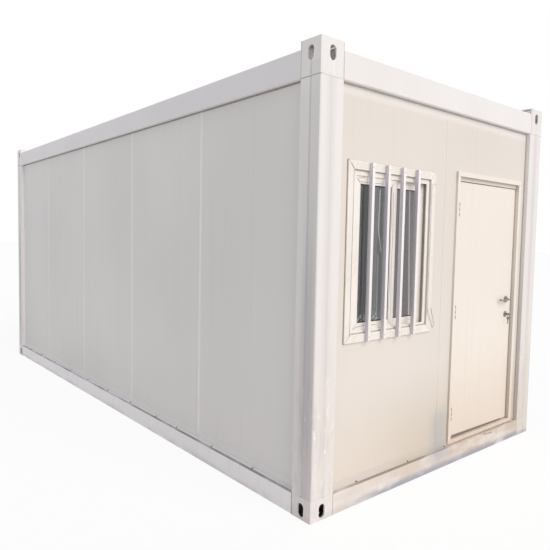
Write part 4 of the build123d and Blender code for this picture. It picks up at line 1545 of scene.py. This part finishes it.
@dataclass
class SlidingWindow:
    """Window frame, two sashes and their panes, with seals, a latch and the makers' film."""

    left: float = 0.275
    right: float = 1.165
    foot: float = 1.033
    top: float = 2.148
    face: float = 0.052
    front: float = 0.022
    sash_foot: float = 1.093
    sash_top: float = 2.071
    stile: float = 0.057
    sashes: Tuple[Place, ...] = ((0.3483, 0.765, 0.043), (0.675, 1.0917, 0.066))
    sash_thick: float = 0.020
    pane_thick: float = 0.005
    film_edge: float = 0.007
    film_wide: float = 0.038
    film_steps: int = 48
    film_line: float = 0.0011
    loose_line: float = 0.0015

    def build(self) -> None:
        """Make the seals, the latch and the film."""
        self._seals()
        self._brush()
        self._edge_bead()
        self._latch()
        self._film()
        self._film_edges()

    def _seals(self) -> None:
        """Rubber beads that hold the panes, on both faces."""
        seals = Workpiece("glazing_seals")
        lip = ((0.0, 0.0), (0.0, 0.0045), (0.0025, 0.0045), (0.0055, 0.0010), (0.0055, 0.0))
        foot, top = self.sash_foot + self.stile, self.sash_top - self.stile
        for left, right, front in self.sashes:
            edges = (left + self.stile, right - self.stile, foot, top)
            pane = front + (self.sash_thick - self.pane_thick) / 2
            for face, side in ((pane, -1), (pane + self.pane_thick, 1)):
                seals.frame_loop(edges, [(inset, face + side * rise) for inset, rise in lip])
        seals.finish("cabin", SEAL_RUBBER, "window_plastic")

    def _brush(self) -> None:
        """Pile along the empty part of the outer track, up its right end and across its head."""
        pile = Workpiece("sash_brush")
        near, far = self.sashes[0][2] + 0.001, self.sashes[1][2] - 0.001
        middle = (near + far) / 2
        section = ((0.0, near), (0.0016, near), (0.0026, middle), (0.0016, far), (0.0, far))
        start, end = self.sashes[0][1] + 0.003, self.sashes[1][1] - PLAY
        foot, head = self.sash_foot + 0.003, self.sash_top + 0.0037
        pile.strip(((end, -1, foot, 0), (end, -1, head, -1), (start, 0, head, -1)), section)
        pile.finish("cabin", PILE, "window_plastic")

    def _edge_bead(self) -> None:
        """Grey sealant in the corner between the frame and the panel."""
        bead = Workpiece("window_edge_seal")
        edges = (self.left, self.right, self.foot, self.top)
        section = ((-0.0032, 0.0349), (-0.0028, 0.0335), (-PLAY, 0.0300), (-PLAY, 0.0349))
        bead.frame_loop(edges, section)
        bead.finish("cabin", EDGE_SEAL, "window_plastic")

    def _latch(self) -> None:
        """Turning latch on the inside of the meeting stile."""
        latch = Workpiece("window_latch")
        along = self.sashes[1][0] + self.stile / 2
        inside = self.sashes[1][2] + self.sash_thick
        middle = (self.sash_foot + self.sash_top) / 2
        levels = ((0.0, 1.0), (0.004, 1.0), (0.006, 0.86))
        outline = rounded(0.022, 0.070, 0.008, 4)
        latch.stack(Axis.DEPTH, (along, inside, middle), outline, levels)
        boss = ((0.010, 0.0), (0.010, 0.006), (0.008, 0.0085), (0.003, 0.009))
        base = Wall.FRONT.at(along, inside + 0.006, middle)
        latch.turn(boss, base, -Wall.FRONT.out(), sides=24)
        rings = []
        for step in range(9):
            turn = math.radians(90 - step * 14)
            x = along - 0.006 + 0.040 * (1 - math.sin(turn))
            depth = inside + 0.010 + step * 0.0006
            rise = middle + 0.042 * math.cos(turn) + step * 0.0012
            arm = rounded(0.011, 0.005, 0.002, 2)
            rings.append([Wall.FRONT.at(x + u, depth + v, rise) for u, v in arm])
        latch.skin(rings)
        latch.finish("cabin", WINDOW_PLASTIC, "window_plastic")

    def _film(self) -> None:
        """Strips of film left on the frame, and the end that has come loose at the lower right."""
        film = Workpiece("frame_film")
        edge, wide = self.film_edge, self.film_wide
        left, right = self.left + edge, self.right - edge - wide
        foot, top = self.foot + edge, self.top - edge - wide
        strips = (
            ((left, self.foot + 0.012), (left, self.top - 0.012), (wide, 0.0)),
            ((right, 1.200), (right, 2.062), (wide, 0.0)),
            ((self.left + 0.06, top), (self.right - 0.07, top), (0.0, wide)),
            ((self.left + 0.06, foot), (self.right - 0.10, foot), (0.0, wide)),
        )
        for number, (start, end, across) in enumerate(strips):
            rows = []
            for step in range(self.film_steps + 1):
                share = step / self.film_steps
                wobble = 0.0009 * math.sin(step * 1.3 + number) + 0.0006 * math.sin(step * 3.1)
                lift = 0.0003 + 0.0005 * abs(math.sin(step * 0.9 + number * 2))
                lift += 0.004 * max(0.0, (share - 0.965) / 0.035) if number == 1 else 0.0
                row = []
                for part, sway, bulge in ((0, 1, 0.5), (1, 0, 1.0), (2, 0, 1.0), (3, 1, 0.5)):
                    u, v = (
                        a + (b - a) * share + c * part / 3 + sway * wobble * bool(c)
                        for a, b, c in zip(start, end, across)
                    )
                    row.append(Wall.FRONT.at(u, self.front - lift * bulge, v))
                rows.append(row)
            film.skin(rows, closed=False)
        film.skin(self._loose_end(), closed=False)
        film.finish("cabin", FILM, "window_plastic")

    def _loose_end(self) -> List[List[Vector]]:
        """Rows of points across the loose end of the film, from the frame to its tip."""
        path = (
            (1.132, 0.0215, 1.200, 0.050), (1.136, 0.0195, 1.170, 0.048),
            (1.144, 0.0150, 1.140, 0.044), (1.155, 0.0095, 1.112, 0.036),
            (1.165, 0.0060, 1.088, 0.026), (1.166, 0.0055, 1.066, 0.014),
        )
        curl = ((-0.5, 0.0), (-0.2, -0.0015), (0.15, -0.0035), (0.5, -0.0010))
        rows = []
        for u, depth, v, width in path:
            rows.append([Wall.FRONT.at(u + width * s, depth + d, v + 0.012 * s) for s, d in curl])
        return rows

    def _film_edges(self) -> None:
        """Rolled edges of the film, on the frame and the sashes and at the loose corner."""
        edges = Workpiece("film_edges")
        outer, inner = self.sashes[0][2], self.sashes[1][2]
        upright = ((1.121, 1.205), (1.119, 1.45), (1.122, 1.75), (1.120, 2.062))
        corner = ((0.445, 2.058), (0.392, 2.047), (0.378, 2.036), (0.398, 2.026), (0.62, 2.028))
        lines = (
            (self.front, ((0.320, 1.075), (0.3195, 1.4), (0.321, 1.8), (0.320, 2.105))),
            (self.front, upright + ((1.150, 2.070), (1.166, 2.066))),
            (self.front, ((0.292, 2.128), (0.306, 2.112), (0.322, 2.096))),
            (outer, corner),
            (outer, ((0.360, 1.108), (0.398, 1.124), (0.44, 1.130), (0.60, 1.128))),
            (outer, ((0.727, 1.98), (0.733, 1.72), (0.729, 1.46), (0.737, 1.24), (0.731, 1.12))),
            (outer, ((0.711, 2.03), (0.714, 1.85), (0.711, 1.60), (0.716, 1.38), (0.712, 1.12))),
            (inner, ((0.95, 1.135), (1.02, 1.118), (1.045, 1.105))),
        )
        for depth, points in lines:
            edges.tube([(u, depth - 0.0008, v) for u, v in points], self.film_line)
        loose = ((1.119, 0.0205, 1.200), (1.126, 0.0180, 1.160), (1.140, 0.0120, 1.120))
        loose += ((1.155, 0.0085, 1.086), (1.160, 0.0052, 1.062))
        rim = ((1.158, 0.0195, 1.200), (1.166, 0.0130, 1.150), (1.176, 0.0075, 1.105))
        rim += ((1.178, 0.0055, 1.084), (1.166, 0.0052, 1.062))
        for path in (loose, rim):
            edges.tube(path, self.loose_line)
        edges.finish("cabin", FILM_EDGE, "window_plastic")

    def dress(self) -> None:
        """Finish the frame, the sashes and the panes."""
        dress(("window_frame",), WINDOW_PLASTIC)
        dress(("window_sashes",), SASH_PLASTIC)
        dress(("window_glass",), GLASS)


WINDOW = SlidingWindow()


def on_front(left: float, right: float) -> Point:
    """Turn two places along the front into places across the cabin."""
    return left - CABIN.half_width, right - CABIN.half_width


WINDOW_PLASTIC = WindowPlastic(
    "finish_window_plastic",
    screen(251, 246, 240),
    ((*on_front(WINDOW.left, WINDOW.right), WINDOW.foot, WINDOW.top, WINDOW.face),),
)
SASH_PLASTIC = WindowPlastic(
    "finish_sash_plastic",
    screen(250, 245, 240),
    tuple(
        (*on_front(left, right), WINDOW.sash_foot, WINDOW.sash_top, WINDOW.stile)
        for left, right, _ in WINDOW.sashes
    ),
    depth_split=0.0645 - CABIN.half_length,
)


@dataclass
class WindowGuard:
    """Square tube bars in front of the window, screwed to its frame."""

    places: Floats = (0.472, 0.625, 0.780, 0.939)
    width: float = 0.025
    thick: float = 0.027
    foot: float = 1.036
    top: float = 2.143
    corner: float = 0.0012
    end_round: float = 0.0010
    end_share: float = 0.95
    screw_inset: float = 0.028
    screw_radius: float = 0.0036
    bars: Optional[Workpiece] = None
    screws: Optional[Workpiece] = None

    def build(self) -> None:
        """Make the bars and the screws at their ends."""
        self.bars = Workpiece("window_bars")
        self.screws = Workpiece("window_bar_screws")
        outline = rounded(self.width, self.thick, self.corner, 2)
        levels = (
            (self.foot, self.end_share),
            (self.foot + self.end_round, 1.0),
            (self.top - self.end_round, 1.0),
            (self.top, self.end_share),
        )
        for along in self.places:
            centre = (along, WINDOW.front - self.thick / 2, 0.0)
            self.bars.stack(Axis.HEIGHT, centre, outline, levels)
            for height in (self.foot + self.screw_inset, self.top - self.screw_inset):
                base = Wall.FRONT.at(along, WINDOW.front - self.thick, height)
                self.screws.countersunk(base, Wall.FRONT.out(), self.screw_radius)

    def dress(self) -> None:
        """Paint the bars and leave the screws unpainted."""
        faces = tuple(along - CABIN.half_width - self.width / 2 for along in self.places)
        white, shade = screen(252, 250, 252), screen(246, 243, 247)
        paint = BarPaint("finish_bar_paint", white, shade=shade, roughness=0.28, faces=faces)
        self.bars.finish("cabin", paint, "frame_paint")
        self.screws.finish("cabin", LOCK_METAL, "lock_steel")


@dataclass
class Studio:
    """Camera, floor, soft lamp and white surroundings."""

    eye: Place = (-3.5194, -5.1963, 1.6632)
    look: Place = (0.64104, 0.76479, -0.06449)
    side: Place = (0.76705, -0.64129, 0.01952)
    lens: float = 36.2
    sensor: float = 36.0
    floor_half: float = 120.0
    floor_drop: float = 0.001
    floor_colour: Colour = (0.80, 0.79, 0.78)
    floor_glow: float = 0.88
    sky: Colour = (0.96, 0.98, 1.0)
    sky_level: float = 0.52
    key_colour: Colour = (1.0, 0.945, 0.88)
    key_level: float = 1.75
    key_spread: float = 50.0
    key_from: Place = (0.05, -1.0, 0.8)

    def build(self) -> None:
        """Set up everything round the cabin."""
        bpy.context.scene.view_settings.view_transform = "Standard"
        self._camera()
        self._floor()
        self._surroundings()
        self._lamp()

    def _camera(self) -> None:
        """Camera at the solved place, with its slight roll."""
        data = bpy.data.cameras.new("camera")
        data.lens = self.lens
        data.sensor_width = self.sensor
        camera = bpy.data.objects.new("camera", data)
        back = -Vector(self.look).normalized()
        right = Vector(self.side).normalized()
        up = back.cross(right).normalized()
        turn = Matrix((right, up, back)).transposed().to_4x4()
        camera.matrix_world = Matrix.Translation(self.eye) @ turn
        bpy.context.scene.collection.objects.link(camera)
        bpy.context.scene.camera = camera

    def _floor(self) -> None:
        """Pale floor that keeps the cabin's shadow."""
        mesh = bmesh.new()
        bmesh.ops.create_grid(mesh, x_segments=8, y_segments=8, size=self.floor_half)
        data = bpy.data.meshes.new("floor")
        mesh.to_mesh(data)
        mesh.free()
        floor = bpy.data.objects.new("floor", data)
        floor.location.z = -self.floor_drop
        bpy.context.scene.collection.objects.link(floor)
        material = bpy.data.materials.new("studio_floor")
        graph = Graph(material)
        seen = self._seen(graph)
        pale = graph.mix(seen, self.floor_colour, WHITE)
        matt = graph.value("ShaderNodeBsdfDiffuse", None, {"Color": pale})
        glow = graph.value("ShaderNodeEmission", None, {"Color": WHITE, "Strength": 1.0})
        graph.show(graph.blend(seen * self.floor_glow, matt, glow))
        data.materials.append(material)

    def _seen(self, graph: Graph) -> Value:
        """Tell what is seen from what only lights the cabin.

        Args:
            graph: Graph of the surroundings.

        Returns:
            1 on rays from the camera, in gloss or through glass, and 0 on the others.
        """
        path = graph.add("ShaderNodeLightPath")
        kinds = ("Is Camera Ray", "Is Glossy Ray", "Is Transmission Ray")
        camera, gloss, through = (Value(graph, path.outputs[kind]) for kind in kinds)
        return camera.greater(gloss).greater(through)

    def _surroundings(self) -> None:
        """White surroundings that light the cabin softly."""
        world = bpy.data.worlds.new("surroundings")
        bpy.context.scene.world = world
        graph = Graph(world)
        seen = self._seen(graph)
        colour = graph.mix(seen, self.sky, WHITE)
        level = seen * (1.0 - self.sky_level) + self.sky_level
        light = graph.value("ShaderNodeBackground", None, {"Color": colour, "Strength": level})
        graph.add("ShaderNodeOutputWorld", None, {"Surface": light})

    def _lamp(self) -> None:
        """Wide soft lamp from the front."""
        data = bpy.data.lights.new("key", "SUN")
        data.energy = self.key_level
        data.color = self.key_colour
        data.angle = math.radians(self.key_spread)
        lamp = bpy.data.objects.new("key", data)
        lamp.rotation_mode = "QUATERNION"
        lamp.rotation_quaternion = Vector(self.key_from).to_track_quat("Z", "Y")
        bpy.context.scene.collection.objects.link(lamp)


def main() -> None:
    """Build and dress each sub-assembly, then set up the studio."""
    logging.basicConfig(level=logging.INFO, format="%(message)s")
    for assembly in (SteelFrame(), FloorAndRoof(), WallPanels(), Doorway(), WINDOW, WindowGuard()):
        assembly.build()
        assembly.dress()
    Studio().build()


if __name__ == "__main__":
    main()
